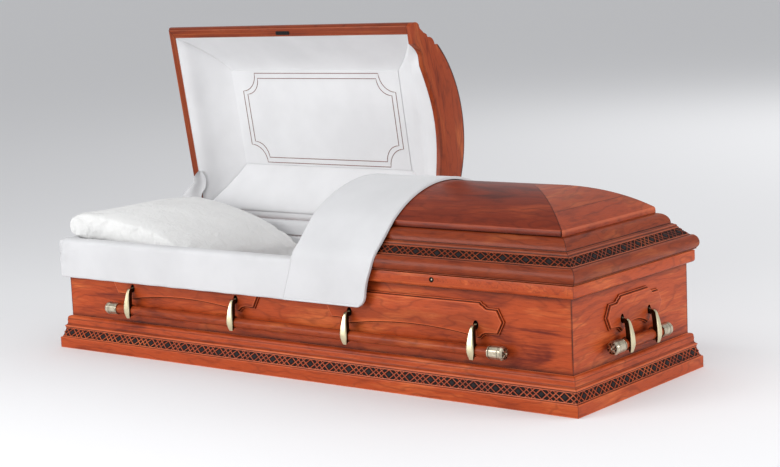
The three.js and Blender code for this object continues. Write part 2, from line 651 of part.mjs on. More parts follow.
// Cloth lining of the head lid: a coved border around a flat cap panel.
function lidLining(parent) {
  const inset = LID_INSET + LID_WOOD + LINING_CLEAR;
  const x0 = -HALF_L + inset;
  const x1 = SPLIT_X - SPLIT_GAP / 2 - HEADER - LINING_CLEAR;
  const half = HALF_W - inset;
  const foot = LID_BOTTOM + 2 * LINING_CLEAR;
  const crest = foot + LINING_DEPTH + CAP_PANEL_THICK + GAP;
  const rise = (j) => 1 - Math.max(0, 1 - j / LINING_BORDER) ** LINING_COVE;
  const cove = (j, low) => low + (crest - low) * rise(j);
  const height = (x, y) => Math.min(cove(x - x0, foot), cove(half - Math.abs(y), foot),
    cove(x1 - x, Math.max(foot, archHeight(y) + LINING_OVER_ARCH)));
  const steps = [0, 0.1, 0.3, 0.6, 1].map((s) => s * LINING_BORDER);
  const xs = [...steps.map((s) => x0 + s), ...steps.map((s) => x1 - s).reverse()];
  const ys = [...steps.map((s) => s - half), 0, ...steps.map((s) => half - s).reverse()];
  const points = [];
  const faces = [];
  const index = (i, j, top) => (i * ys.length + j) * 2 + top;
  for (const x of xs) {
    for (const y of ys) {
      const z = height(x, y);
      points.push(vec(x, y, z), vec(x, y, z + LINING_THICK));
    }
  }
  for (let i = 0; i + 1 < xs.length; i += 1) {
    for (let j = 0; j + 1 < ys.length; j += 1) {
      const low = [index(i, j, 0), index(i, j + 1, 0), index(i + 1, j + 1, 0), index(i + 1, j, 0)];
      const top = low.map((n) => n + 1).reverse();
      for (const [a, b, c, d] of [low, top]) faces.push([a, b, c], [a, c, d]);
    }
  }
  const wall = (a, b) => faces.push([a, b, b + 1], [a, b + 1, a + 1]);
  for (let i = 0; i + 1 < xs.length; i += 1) {
    wall(index(i, 0, 0), index(i + 1, 0, 0));
    wall(index(i + 1, ys.length - 1, 0), index(i, ys.length - 1, 0));
  }
  for (let j = 0; j + 1 < ys.length; j += 1) {
    wall(index(0, j + 1, 0), index(0, j, 0));
    wall(index(xs.length - 1, j, 0), index(xs.length - 1, j + 1, 0));
  }
  add('head_lid_lining', meshOf(points, faces), CLOTH_WHITE, parent);
  const edge = LINING_BORDER + CAP_PANEL_CLEAR;
  add('head_lid_cap_panel', box(x0 + edge, x1 - edge, -half + edge, half - edge,
    crest - GAP - CAP_PANEL_THICK, crest - GAP), CLOTH_WHITE, parent);
}

function latchPlate(parent) {
  const middle = (-HALF_L + SPLIT_X) / 2;
  const y = -(HALF_W - LATCH.inset);
  add('latch_plate', box(middle - LATCH.length / 2, middle + LATCH.length / 2, y - LATCH.width / 2,
    y + LATCH.width / 2, LID_BOTTOM - GAP - LATCH.thick, LID_BOTTOM - GAP), BLACK, parent);
}

function hinges() {
  for (const [which, places] of Object.entries(HINGE_PLACES)) {
    places.forEach((x, n) => {
      const knuckle = new THREE.CylinderGeometry(HINGE_RADIUS, HINGE_RADIUS, HINGE_LENGTH, ROUND_SIDES);
      knuckle.rotateZ(Math.PI / 2).translate(x, HINGE_Y, HINGE_Z);
      const face = HALF_W - RIM_INSET + GAP;
      const leaf = box(x - HINGE_LENGTH / 2, x + HINGE_LENGTH / 2, face, face + HINGE_LEAF_THICK,
        HINGE_Z - HINGE_LEAF, HINGE_Z);
      add(`hinge_${which}_${n + 1}`, toGeometry(toSolid(knuckle).add(toSolid(leaf))), ANTIQUE);
    });
  }
}

// Handles, built along X at the front side and turned to their side of the box
function endCap() {
  const profile = [[0, 0], [BAR_RADIUS * 1.06, 0], [CAP_RADIUS, CAP_FOOT],
    [CAP_RADIUS, CAP_LENGTH * 0.66], [CAP_RADIUS * 1.04, CAP_LENGTH * 0.74],
    [CAP_RADIUS * 0.975, CAP_LENGTH * 0.84], [CAP_RADIUS * 0.75, CAP_LENGTH],
    [0, CAP_LENGTH]].map(([r, x]) => new THREE.Vector2(r, x));
  return new THREE.LatheGeometry(profile, ROUND_SIDES).rotateZ(-Math.PI / 2);
}

// The arm: a faceted spindle plate in front of the bar, hooked over to its pivot at the top.
function armSolid() {
  const rest = -BAR_OUT - BAR_RADIUS - ARM_CLEAR;
  const { reach, rise, width, thick } = ARM_HOOK;
  const stations = [
    { y: -PIVOT_OUT - reach, z: PIVOT_HEIGHT + rise, w: width, t: thick, lean: 1 },
    { y: -PIVOT_OUT - 2 * reach, z: PIVOT_HEIGHT + rise / 8, w: width, t: thick, lean: 0.5 },
    { y: rest * 0.8, z: PIVOT_HEIGHT - 3 * rise, w: ARM_WIDTH * 0.66, t: ARM_THICK * 0.9, lean: 0.1 },
    { y: rest, z: BAR_HEIGHT + 2 * ARM_WAIST, w: ARM_WIDTH, t: ARM_THICK, lean: 0 },
    { y: rest, z: BAR_HEIGHT - ARM_WAIST, w: ARM_WIDTH * 0.78, t: ARM_THICK, lean: 0 },
    { y: rest, z: ARM_FOOT, w: ARM_WIDTH * 0.5, t: ARM_THICK * 0.8, lean: 0 },
  ];
  const section = [[-1, 0], [-1, 0.4], [-0.45, 1], [0.45, 1], [1, 0.4], [1, 0]];
  const loops = stations.map(({ y, z, w, t, lean }) => section.map(([u, d]) => vec(
    (u * w) / 2, y - d * t * (1 - lean * 0.3), z + d * t * lean)));
  const plate = skin(loops, { outline: section });
  const eye = new THREE.CylinderGeometry(PIVOT_RADIUS, PIVOT_RADIUS, PIVOT_LENGTH, 6)
    .rotateZ(Math.PI / 2).translate(0, -PIVOT_OUT, PIVOT_HEIGHT);
  const square = [[-1, -1], [1, -1], [1, 1], [-1, 1]];
  const neck = skin([0, 1].map((far) => square.map(([u, v]) => vec(u * ARM_NECK.half,
    -PIVOT_OUT - far * ARM_NECK.reach, PIVOT_HEIGHT + far * ARM_NECK.rise / 2 + v * ARM_NECK.half))),
  { outline: square });
  const tube = (r, length) => toSolid(new THREE.CylinderGeometry(r, r, length, ROUND_SIDES)
    .rotateZ(Math.PI / 2).translate(0, -BAR_OUT, BAR_HEIGHT));
  const collar = tube(BAR_RADIUS + COLLAR_WALL, COLLAR_WIDTH);
  return wasm.Manifold.union([toSolid(plate), toSolid(eye), toSolid(neck), collar])
    .subtract(tube(BAR_RADIUS + COLLAR_CLEAR, 2 * COLLAR_WIDTH));
}

function handle(side, half, armPlaces, turn, wallDistance) {
  const group = new THREE.Group();
  group.rotation.z = turn;
  nodes.add(group);
  const put = (name, geometry, material, x) => {
    add(name, geometry, material, group).position.set(x, -wallDistance, 0);
  };
  const barHalf = half - CAP_LENGTH - GAP;
  const bar = new THREE.CylinderGeometry(BAR_RADIUS, BAR_RADIUS, 2 * barHalf, ROUND_SIDES)
    .rotateZ(Math.PI / 2);
  put(`bar_${side}`, bar.translate(0, -BAR_OUT, BAR_HEIGHT), CHERRY_DARK, 0);
  for (const [n, sx] of [[1, -1], [2, 1]]) {
    const cap = endCap();
    if (sx < 0) cap.rotateZ(Math.PI);
    cap.translate(sx * (barHalf + GAP), -BAR_OUT, BAR_HEIGHT);
    put(`cap_${side}_${n}`, cap, ANTIQUE, 0);
  }
  armPlaces.forEach((x, n) => put(`arm_${side}_${n + 1}`, toGeometry(armSolid()), GOLD, x));
}

function handles() {
  const four = [-1.5, -0.5, 0.5, 1.5].map((n) => n * ARM_SPACING);
  const two = [-0.5, 0.5].map((n) => n * SHORT_ARM_SPACING);
  handle('front', LONG_BAR, four, 0, WALL_Y);
  handle('foot', SHORT_BAR, two, Math.PI / 2, WALL_X);
  handle('back', LONG_BAR, four, Math.PI, WALL_Y);
  handle('head', SHORT_BAR, two, -Math.PI / 2, WALL_X);
}

// Soft goods
function bedding() {
  const inner = WALL_INNER + 2 * GAP;
  const low = FLOOR + BEDDING_CLEAR;
  const high = WALL_TOP - BEDDING_CLEAR;
  add('body_lining', ring([[inner, low], [inner + BODY_LINING, low],
    [inner + BODY_LINING, high], [inner, high]]), CLOTH_WHITE);
  const side = inner + BODY_LINING + CLOTH;
  const slab = [[side, low], [side, MATTRESS_TOP - MATTRESS_EASE], [side + MATTRESS_EASE, MATTRESS_TOP]];
  const corners = [[-1, -1], [1, -1], [1, 1], [-1, 1]];
  const loops = slab.map(([i, z]) => corners.map(([sx, sy]) => vec(
    sx * (HALF_L - i), sy * (HALF_W - i), z)));
  add('mattress', skin(loops, { outline: corners }), CLOTH_WHITE);
}

function pillow() {
  const count = 8;
  const nodesAt = Array.from({ length: count + 1 }, (_, i) => Math.sin(((i / count) - 0.5) * Math.PI));
  const reach = PILLOW.length / 2;
  const middle = -HALF_L + PILLOW.fromEnd + reach;
  const seamFoot = MATTRESS_TOP + PILLOW.aboveMattress;
  const seamHead = RIM_TOP + PILLOW.aboveRim;
  const place = (u, v, side) => {
    const toHead = (1 - u) / 2;
    const seam = seamFoot + (seamHead - seamFoot) * toHead;
    const full = ((1 - u ** 2) * (1 - v ** 2)) ** PILLOW_FULLNESS;
    const height = side > 0 ? seam + PILLOW.top * full : seam - PILLOW.under * full;
    const x = middle + reach * u * (1 - PILLOW_WAIST * (1 - v ** 2));
    const y = v * (HALF_W - PILLOW.fromSide + PILLOW.flare * Math.max(0, 4 * toHead - 3))
      * (1 - PILLOW_WAIST * (1 - u ** 2));
    return vec(x, y, Math.max(height, MATTRESS_TOP + BEDDING_CLEAR));
  };
  const points = [];
  const faces = [];
  const at = new Map();
  const index = (i, j, side) => {
    const rim = i === 0 || j === 0 || i === count || j === count;
    const key = `${i},${j},${rim ? 0 : side}`;
    if (!at.has(key)) {
      at.set(key, points.length);
      points.push(place(nodesAt[i], nodesAt[j], side));
    }
    return at.get(key);
  };
  for (let i = 0; i < count; i += 1) {
    for (let j = 0; j < count; j += 1) {
      for (const side of [1, -1]) {
        const quad = [index(i, j, side), index(i + 1, j, side), index(i + 1, j + 1, side),
          index(i, j + 1, side)];
        if (side < 0) quad.reverse();
        faces.push([quad[0], quad[1], quad[2]], [quad[0], quad[2], quad[3]]);
      }
    }
  }
  add('pillow', meshOf(points, faces), PILLOW_WHITE);
}

// White cloth turned over the rim of the head half: it hangs outside at the front and head end and
// is only rolled over the rim at the back, where the lid is hinged.
function extendover() {
  const outside = RIM_INSET - SKIRT_CLEAR;
  const inside = RIM_INNER + SKIRT_CLEAR;
  const top = RIM_TOP + SKIRT_CLEAR;
  const tail = WALL_TOP + 2 * SKIRT_CLEAR;
  const out = outside - SKIRT_THICK;
  const fall = inside + SKIRT_SOFT.fall;
  const section = [
    [outside, SKIRT_BOTTOM], [out, SKIRT_BOTTOM], [out, top],
    [out + SKIRT_SOFT.out, top + SKIRT_ROLL * 0.7], [out + SKIRT_SOFT.in, top + SKIRT_ROLL],
    [inside - SKIRT_SOFT.back, top + SKIRT_ROLL], [inside, top + SKIRT_ROLL * 0.6],
    [fall, top - SKIRT_SOFT.fall], [fall, tail], [inside, tail], [inside, top], [outside, top],
  ];
  const cut = SPLIT_X - SKIRT_FROM_SPLIT;
  const stop = HALF_W - RIM_INSET - SKIRT_FROM_BACK;
  const loops = [
    section.map(([i, z]) => vec(cut, -(HALF_W - i), z)),
    section.map(([i, z]) => vec(-(HALF_L - i), -(HALF_W - i), z)),
    section.map(([i, z]) => vec(-(HALF_L - i), stop, z)),
  ];
  const skirt = toSolid(skin(loops, { outline: section }));
  const far = RIM_INSET + BACK_ROLL.inset;
  const roll = [
    [far, top], [far, top + BACK_ROLL.edge], [far + BACK_ROLL.inset, top + BACK_ROLL.rise],
    [inside - BACK_ROLL.fall, top + BACK_ROLL.rise], [fall, top - SKIRT_SOFT.fall],
    [fall, tail], [inside, tail], [inside, top],
  ];
  const back = toSolid(board(roll, (i, z, end) => vec(end ? cut : -(HALF_L - inside),
    HALF_W - i, z)));
  const rim = toSolid(ring([[outside, tail - OVERCUT], [inside, tail - OVERCUT], [inside, top],
    [outside, top]]));
  add('extendover', toGeometry(skirt.add(back).subtract(rim)), CLOTH_WHITE);
}

// Upper hull of a profile: the line that cloth takes where it bridges the hollows.
function bridged(profile) {
  const hull = [];
  const turn = (a, b, c) => (b[0] - a[0]) * (c[1] - a[1]) - (b[1] - a[1]) * (c[0] - a[0]);
  for (const point of profile) {
    while (hull.length > 1 && turn(hull.at(-2), hull.at(-1), point) >= -1e-6) hull.pop();
    hull.push(point);
  }
  return hull;
}

// Straight-line reading of a table of [height, value] pairs.
function readTable(table, height) {
  const after = table.findIndex(([z]) => z >= height);
  if (after < 0) return table.at(-1)[1];
  if (after === 0) return table[0][1];
  const [z0, v0] = table[after - 1];
  const [z1, v1] = table[after];
  return v0 + ((v1 - v0) * (height - z0)) / (z1 - z0);
}

// Quilted throw laid over the cut end of the foot lid, hanging down the front.
function overlay() {
  const face = [...lidFace(), ...crownFace(6)];
  const widest = face.findIndex(([inset]) => inset === LID_INSET - TORUS_BULGE);
  const hull = bridged(face.slice(widest).sort((a, b) => a[0] - b[0]));
  const levels = [OVERLAY_BOTTOM, OVERLAY_BOTTOM + OVERLAY_ROUND, LID_BOTTOM - OVERLAY_WAIST,
    LID_BOTTOM + OVERLAY_CHEST, BAND_TOP.z, CROWN_SPRING, CROWN_APEX];
  const [leftEdge, rightEdge] = [OVERLAY_HEAD_EDGE, OVERLAY_FOOT_EDGE].map(
    (edge) => edge.map((distance, i) => [levels[i], SPLIT_X + distance]));
  const [frontInset, frontZ] = hull[0];
  const line = [
    ...levels.slice(0, 3).map((z) => [frontInset, z, -1]),
    [frontInset, frontZ - OVERLAY_THICK, -1], ...hull.map(([i, z]) => [i, z, -1]),
    ...hull.slice(0, -1).reverse().filter(([i]) => i >= HALF_W - OVERLAY_BACK).map(([i, z]) => [i, z, 1]),
  ].map(([i, z, side]) => [side * (HALF_W - i), z, side]);
  const columns = [0, 0.5, 1];
  const loops = line.map(([y, z, side], i) => {
    const [y0, z0] = line[Math.max(i - 1, 0)];
    const [y1, z1] = line[Math.min(i + 1, line.length - 1)];
    const size = Math.hypot(y1 - y0, z1 - z0);
    const out = [-(z1 - z0) / size, (y1 - y0) / size];
    const at = (lift) => [y + out[0] * lift, z + out[1] * lift];
    const left = side < 0 ? readTable(leftEdge, z) : leftEdge.at(-1)[1];
    const right = side < 0 ? readTable(rightEdge, z) : rightEdge.at(-1)[1];
    const row = (lift) => columns.map((s) => vec(left + (right - left) * s, ...at(lift)));
    return [...row(OVERLAY_LIFT), ...row(OVERLAY_LIFT + OVERLAY_THICK).reverse()];
  });
  const flat = [...columns.map((s) => [s, 0]), ...columns.map((s) => [s, 1]).reverse()];
  add('overlay', skin(loops, { outline: flat }), CLOTH_WHITE);
}

bodyBoards();
baseMoulding();
rimMoulding();
appliedPanels();
bedding();
pillow();
extendover();
overlay();
hinges();
handles();

lid('foot_lid', 1, nodes);

// The head lid is drawn closed inside a group that turns about the hinge axis.
const headLid = new THREE.Group();
headLid.position.set(0, HINGE_Y, HINGE_Z);
headLid.rotation.x = -THREE.MathUtils.degToRad(HEAD_LID_OPEN);
const closed = new THREE.Group();
closed.position.set(0, -HINGE_Y, -HINGE_Z);
headLid.add(closed);
nodes.add(headLid);
lid('head_lid', -1, closed);
lidLining(closed);
latchPlate(closed);

export default nodes;
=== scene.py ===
import json
import math

import bmesh
import bpy
import numpy as np
from mathutils import Matrix, Vector, noise
from mathutils.geometry import tessellate_polygon


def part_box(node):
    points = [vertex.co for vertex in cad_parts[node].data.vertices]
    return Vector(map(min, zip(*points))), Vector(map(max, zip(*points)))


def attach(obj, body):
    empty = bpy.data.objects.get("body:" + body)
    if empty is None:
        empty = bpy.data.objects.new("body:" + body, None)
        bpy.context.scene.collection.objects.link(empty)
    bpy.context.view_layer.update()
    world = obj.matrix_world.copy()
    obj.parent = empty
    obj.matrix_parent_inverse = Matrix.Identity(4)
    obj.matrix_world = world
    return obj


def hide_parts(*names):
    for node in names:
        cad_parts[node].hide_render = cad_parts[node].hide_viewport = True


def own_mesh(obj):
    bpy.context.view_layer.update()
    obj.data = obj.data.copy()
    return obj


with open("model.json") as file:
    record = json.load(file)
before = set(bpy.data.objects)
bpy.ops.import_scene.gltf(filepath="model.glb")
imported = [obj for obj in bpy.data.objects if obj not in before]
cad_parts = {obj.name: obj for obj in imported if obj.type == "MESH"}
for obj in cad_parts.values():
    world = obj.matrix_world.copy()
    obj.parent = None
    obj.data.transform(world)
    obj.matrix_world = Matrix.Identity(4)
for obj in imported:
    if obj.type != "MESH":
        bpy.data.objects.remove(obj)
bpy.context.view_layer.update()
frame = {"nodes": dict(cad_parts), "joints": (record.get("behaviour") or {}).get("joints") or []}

# A half-couch wooden funeral casket. Sizes here are millimetres, turned into metres by MM when a
# mesh is made. +X is the foot end, the front is -Y. "Inset" is the distance in from the outer face
# of the plinth, and outlines are [inset, height] pairs.
MM = 0.001


def corners(node):
    """Lowest and highest corner of a frame node, in millimetres."""
    low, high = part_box(node)
    return np.array(low) / MM, np.array(high) / MM


# Sizes taken from the frame
HALF_L, HALF_W = corners("base_moulding")[1][:2]
PLINTH_TOP = corners("base_moulding")[1][2]
WALL_X = corners("end_board_foot")[1][0]
WALL_Y = corners("side_board_back")[1][1]
RIM_INSET = HALF_W - corners("rim_moulding")[1][1]
RIM_LOW = corners("rim_moulding")[0][2]
RIM_TOP = corners("rim_moulding")[1][2]
LID_BOTTOM = corners("foot_lid_frame")[0][2]
OVOLO_TOP_Z = corners("foot_lid_frame")[1][2]
CROWN_BASE = corners("foot_lid_crown")[0][2]
CROWN_APEX = corners("foot_lid_crown")[1][2]
CROWN_HALF = corners("foot_lid_crown")[1][1]
FOOT_CUT, FOOT_HEADER = corners("foot_lid_header")[0][0], corners("foot_lid_header")[1][0]
HEAD_CUT, HEAD_HEADER = corners("head_lid_header")[1][0], corners("head_lid_header")[0][0]
PANEL_TOP = corners("panel_front_foot")[1][2]
PANEL_BOTTOM = corners("panel_front_foot")[0][2]
HINGE = next(j for j in frame["joints"] if j["name"] == "head_lid_hinge")
HINGE_Y, HINGE_Z = HINGE["pos_m"][1] / MM, HINGE["pos_m"][2] / MM
LID_ANGLE = math.radians(HINGE["range_deg"][1])
PIVOT = next(j for j in frame["joints"] if j["name"] == "handle_front_swing")["pos_m"][2] / MM

# Body
WALL_INSET = HALF_W - WALL_Y
RIM_WIDTH = 47
RIM_INNER = RIM_INSET + RIM_WIDTH
RIM_ROUND = 9
KEYHOLE = {"x": 562, "z": 356, "radius": 5, "depth": 14}

# Plinth moulding
BLOCK_HEIGHT = 37
BLOCK_EASE = 3
BASE_BAND = ((5, 38), (15, 70))
COVE = {"low": 78, "mid": 86, "high": 100}

# Carved bands
LIP = 2.5
LATTICE_GLAZE = 0.12
CARVING = 1.6
RIB = 2.05
RIB_PROFILE = ((0.0, 0.0), (0.5, 0.10), (0.82, 0.42), (1.0, 1.0))
DIAMOND_STEPS = ((2.6, 1.0, 1), (3.1, 0.35, 1), (4.0, 0.12, 2))
BASE_PERIODS = (27, 9)
LID_PERIODS = (12, 8)
HEAD_PERIODS = 14
WIDE = 0.233

# Lids, closed
LID_BAND = ((26, 421), (51, 446))
LID_INSET = 10
LID_WIDEST = 3.7
BEAD = {"inset": 54, "low": 447, "high": 454}
STEP_INSET = 63
OVOLO = {"inset": 67, "z": 458, "radius": 34}
CROWN_INSET = HALF_W - CROWN_HALF
CROWN_BOARD = 20
CROWN_SPRING = CROWN_BASE + CROWN_BOARD
CROWN_RISE = CROWN_APEX - CROWN_SPRING
CROWN_RADIUS = (CROWN_HALF ** 2 + CROWN_RISE ** 2) / (2 * CROWN_RISE)
CROWN_LAND = 17
CROWN_NOSE = ((2.6, 2.0), (3.5, 9.0), (3.1, 14.4), (1.6, 18.4))
EDGE_GLAZE = 0.55
HIP_BOARD_X = 900
LID_WOOD = 30
ARCH = {"half": 295, "shoulder": 242, "ledge": 210, "low": 41, "high": 84}
LINING_BORDER = 147
LINING_DEPTH = 109
COVE_POWER = 1.6

# Handles
BAR_OUT = 26
BAR_HEIGHT = 160
BAR_RADIUS = 16.5
PIVOT_OUT = 9
CAP_LENGTH = 62
CAP_RADIUS = 20
ARM_FOOT = 135
ARM_SPACING = 474
SHORT_ARM_SPACING = 156
PANEL_THICK = 11.5
PANEL_STEP = 5.6
PANEL_BEYOND_ARM = 97
END_PANEL_BEYOND_ARM = 85
SLOT = (9.5, 14)

# Hinges
KNUCKLES = 5

# Soft parts
LATCH = {"length": 65, "width": 13, "inset": 28}
STITCH = {"head": -833, "foot": -120, "half": 169}
PILLOW = {"length": 552, "from_end": 33, "from_side": 73, "flare": 14, "seam_foot": 6, "seam_head": 46,
          "top": 80, "under": 62, "fullness": 0.3, "waist": 0.04}
SWELL = {"grow": 0.05, "limit": 14, "steps": 20, "voxel": 6.5, "pressure": 4.0}
CRUMPLE = {"reach": 260, "folds": 11, "depth": 4.2, "fade": 120}
OVERLAY = {"thick": 7, "lift": 2.2, "back": 230, "corner": 34, "inner_corner": 10, "edges": [
    (253, -12, 318), (271, -10, 320), (332, 14, 330), (391, 33, 356), (446, 34, 364), (512.3, 42, 369),
    (600.3, 62, 369)]}
LOOSE = {"base": (-1040, 318, 376), "tip": (-1028, 322, 545), "share": (0, 0.48, 0.62, 0.75, 0.88, 0.96, 1),
         "shift": (-26, -17, 0, 13, 11, 13, 13), "wide": (90, 72, 68, 48, 44, 26, 14)}

def quarter_turn(points):
    """The head lid's points, drawn closed, turned open about the hinge."""
    points = np.array(points, float)
    y, z = points[:, 1] - HINGE_Y, points[:, 2] - HINGE_Z
    c, s = math.cos(LID_ANGLE), math.sin(LID_ANGLE)
    points[:, 1] = HINGE_Y + y * c + z * s
    points[:, 2] = HINGE_Z - y * s + z * c
    return points


def shade(colour, share):
    return tuple(c * share for c in colour)


def lump(*place):
    """Smooth noise from -1 to 1 at a place."""
    return noise.noise(Vector(place))


def linked(name, data):
    """A new object in the scene."""
    made = bpy.data.objects.new(name, data)
    bpy.context.scene.collection.objects.link(made)
    return made


# Materials
class Finish:
    """A material with short calls that add and link its nodes."""

    def __init__(self, name):
        self.material = bpy.data.materials.new(name)
        self.material.use_nodes = True
        self.nodes = self.material.node_tree.nodes
        self.links = self.material.node_tree.links
        self.nodes.clear()
        self.shader = self.node("BsdfPrincipled")
        self.links.new(self.shader.outputs[0], self.node("OutputMaterial").inputs[0])

    def node(self, kind, inputs=None, **settings):
        made = self.nodes.new("ShaderNode" + kind)
        for key, value in settings.items():
            setattr(made, key, value)
        for key, value in (inputs or {}).items():
            self.feed(made, key, value)
        return made

    def feed(self, node, key, value):
        socket = node.inputs[key]
        if isinstance(value, bpy.types.NodeSocket):
            self.links.new(value, socket)
        elif isinstance(value, bpy.types.Node):
            self.links.new(value.outputs[0], socket)
        else:
            socket.default_value = value

    def set(self, **values):
        for key, value in values.items():
            self.feed(self.shader, key.replace("_", " "), value)

    def math(self, operation, a, b=0.0, c=0.0, clamp=False):
        return self.node("Math", {0: a, 1: b, 2: c}, operation=operation, use_clamp=clamp)

    def place(self):
        return self.node("TexCoord").outputs["Object"]

    def glaze_and_painted_light(self):
        """How dark a point is from glaze and painted shade; below zero, a painted highlight on an edge."""
        return self.node("Attribute", attribute_name="glaze_and_painted_light").outputs["Fac"]

    def scaled(self, vector, factors):
        return self.node("VectorMath", {0: vector, 1: factors}, operation="MULTIPLY")

    def noise(self, vector, scale, detail=3.0, rough=0.55, distort=0.0):
        return self.node("TexNoise", {"Vector": vector, "Scale": scale, "Detail": detail,
                                      "Roughness": rough, "Distortion": distort})

    def ramp(self, value, stops):
        made = self.node("ValToRGB", {0: value})
        band = made.color_ramp
        while len(band.elements) < len(stops):
            band.elements.new(0.5)
        for element, (place, colour) in zip(band.elements, stops):
            element.position = place
            element.color = (*colour, 1) if len(colour) == 3 else colour
        return made

    def mix(self, factor, a, b, kind="MIX"):
        made = self.node("Mix", data_type="RGBA", blend_type=kind)
        self.feed(made, 0, factor)
        for key, value in ((6, a), (7, b)):
            self.feed(made, key, (*value, 1) if isinstance(value, tuple) and len(value) == 3 else value)
        return made.outputs[2]

    def bump(self, height, distance, strength=1.0):
        made = self.node("Bump", {"Height": height, "Distance": distance, "Strength": strength})
        self.feed(self.shader, "Normal", made)


def grain_vector(finish, axis):
    """The grain's own coordinates: an attribute on made pieces, the frame's axes on kept nodes."""
    if axis is None:
        return finish.node("Attribute", attribute_name="grain").outputs["Vector"]
    split = finish.node("SeparateXYZ", {0: finish.place()})
    order = {"x": (0, 2, 1), "y": (1, 2, 0)}[axis]
    return finish.node("CombineXYZ", {i: split.outputs[o] for i, o in enumerate(order)}).outputs[0]


def edge_shade(f, grain, axis):
    """Painted shade on a board, thickening under the rim, above the plinth and towards the corners."""
    place = f.node("SeparateXYZ", {0: f.place()}).outputs
    along = f.math("ABSOLUTE", place["xy".index(axis)])
    end = WALL_X if axis == "x" else WALL_Y
    total = 0.0
    for value, edge, way, reach in ((place[2], RIM_LOW, -1, SHADE_REACH["rim"]),
                                    (place[2], PLINTH_TOP, 1, SHADE_REACH["plinth"]),
                                    (along, end, -1, SHADE_REACH["corner"])):
        clean, dirty = (edge + way * reach) * MM, (edge + way * SHADE_REACH["edge"]) * MM
        near = f.node("MapRange", {0: value, 1: clean, 2: dirty, 3: 0.0, 4: 1.0})
        total = f.math("MAXIMUM", total, f.math("POWER", near, SHADE_REACH["fade"]))
    mottle = f.noise(f.scaled(grain, (9.0, 30.0, 30.0)), 1.0, 2.0)
    return f.math("MULTIPLY", total, f.math("MULTIPLY_ADD", mottle, 1.0, 0.25), clamp=True)


def wood(name, tones, axis=None):
    """Stained cherry: mottled figure, thin dark growth lines and pores. Boards, which have an axis, have
    painted shade under the rim, above the plinth and at the corners; made pieces have glaze and painted shade
    in their grooves and a painted highlight on their sharp edges."""
    dark, mid, light = tones
    f = Finish(name)
    grain = grain_vector(f, axis)
    figure = f.noise(f.scaled(grain, (2.2, 13.0, 13.0)), 1.0, 4.0, 0.55, 1.6)
    cloud = f.noise(f.scaled(grain, (3.4, 8.0, 8.0)), 1.0, 2.0, 0.5, 0.4)
    streaks = f.noise(f.scaled(grain, (9.0, 190.0, 190.0)), 1.0, 3.0, 0.65)
    rings = f.node("TexWave", {"Vector": f.scaled(grain, (1.7, 5.0, 5.0)), "Scale": 1.8, "Distortion": 26.0,
                               "Detail": 3.0, "Detail Scale": 0.9, "Detail Roughness": 0.55},
                   bands_direction="Y")
    total = 0.0
    for value, weight in ((figure, 0.62), (streaks, 0.26), (cloud, 0.50)):
        total = f.math("MULTIPLY_ADD", value, weight, total)
    colour = f.ramp(total, [(0.50, dark), (0.64, mid), (0.72, mid), (0.86, light)]).outputs[0]
    lines = f.math("MULTIPLY", f.math("POWER", rings.outputs["Fac"], 7.0), f.math("MULTIPLY", cloud, 0.55))
    colour = f.mix(lines, colour, shade(dark, 0.55))
    pores = f.ramp(f.noise(f.scaled(grain, (30.0, 800.0, 800.0)), 1.0, 2.0), [
        (0.34, (0.6, 0.5, 0.5)), (0.5, (1.0, 1.0, 1.0))]).outputs[0]
    colour = f.mix(0.6, colour, pores, "MULTIPLY")
    if axis:
        # painted shade under the rim, above the plinth and at the corners
        colour = f.mix(edge_shade(f, grain, axis), colour, shade(dark, 0.15))
    else:
        # glaze and painted shade darken the grooves
        amount = f.glaze_and_painted_light()
        soft = f.noise(f.scaled(grain, (14.0, 40.0, 40.0)), 1.0, 2.0)
        groove_shade = f.math("MULTIPLY", amount, f.math("MULTIPLY_ADD", soft, 0.8, 0.7), clamp=True)
        colour = f.mix(groove_shade, colour, shade(dark, 0.12))
        # below zero: a painted highlight on sharp edges
        edge_highlight = f.math("MULTIPLY", amount, -0.75, clamp=True)
        colour = f.mix(edge_highlight, colour, tuple(min(1.0, c * 1.3 + 0.05) for c in light))
    f.set(Base_Color=colour, Roughness=f.math("MULTIPLY_ADD", streaks, 0.12, 0.31), Coat_Weight=0.05,
          Coat_Roughness=0.14, Specular_IOR_Level=0.16)
    f.bump(streaks, 0.00016, 0.5)
    return f.material


def cloth(name, colour, wrinkle):
    """White cloth: a fine weave, faint shade variation and soft wrinkles."""
    f = Finish(name)
    place = f.place()
    tone = f.ramp(f.noise(place, 5.0, 3.0), [(0.35, shade(colour, 0.93)), (0.65, colour)]).outputs[0]
    f.set(Base_Color=tone, Roughness=0.85, Sheen_Weight=0.2, Sheen_Roughness=0.4, Specular_IOR_Level=0.25)
    fold = f.math("MULTIPLY", f.noise(place, 22.0, 4.0, 0.6, 0.6), wrinkle)
    f.bump(f.math("MULTIPLY_ADD", f.noise(place, 1400.0, 2.0), 0.00012, fold), 1.0, 0.8)
    return f.material


def metal(name, colour, rough, dark, speckle=0.25):
    """Plated metal with antiquing in its recesses; on the arms the same darkening is also painted shade
    behind the plate and at the hook.
    """
    f = Finish(name)
    place = f.place()
    tarnish = f.noise(place, 60.0, 4.0, 0.6)
    spots = f.ramp(tarnish, [(0.45, (0, 0, 0)), (0.75, (speckle, speckle, speckle))]).outputs[0]
    antiquing_and_shade = f.math("MULTIPLY", f.glaze_and_painted_light(), 1.0, clamp=True)
    base = f.mix(antiquing_and_shade, f.mix(spots, colour, dark), shade(dark, 0.12))
    f.set(Base_Color=base, Metallic=1.0, Roughness=f.math("MULTIPLY_ADD", tarnish, 0.16, rough - 0.08))
    f.bump(f.noise(place, 300.0, 2.0), 0.0002, 0.25)
    return f.material


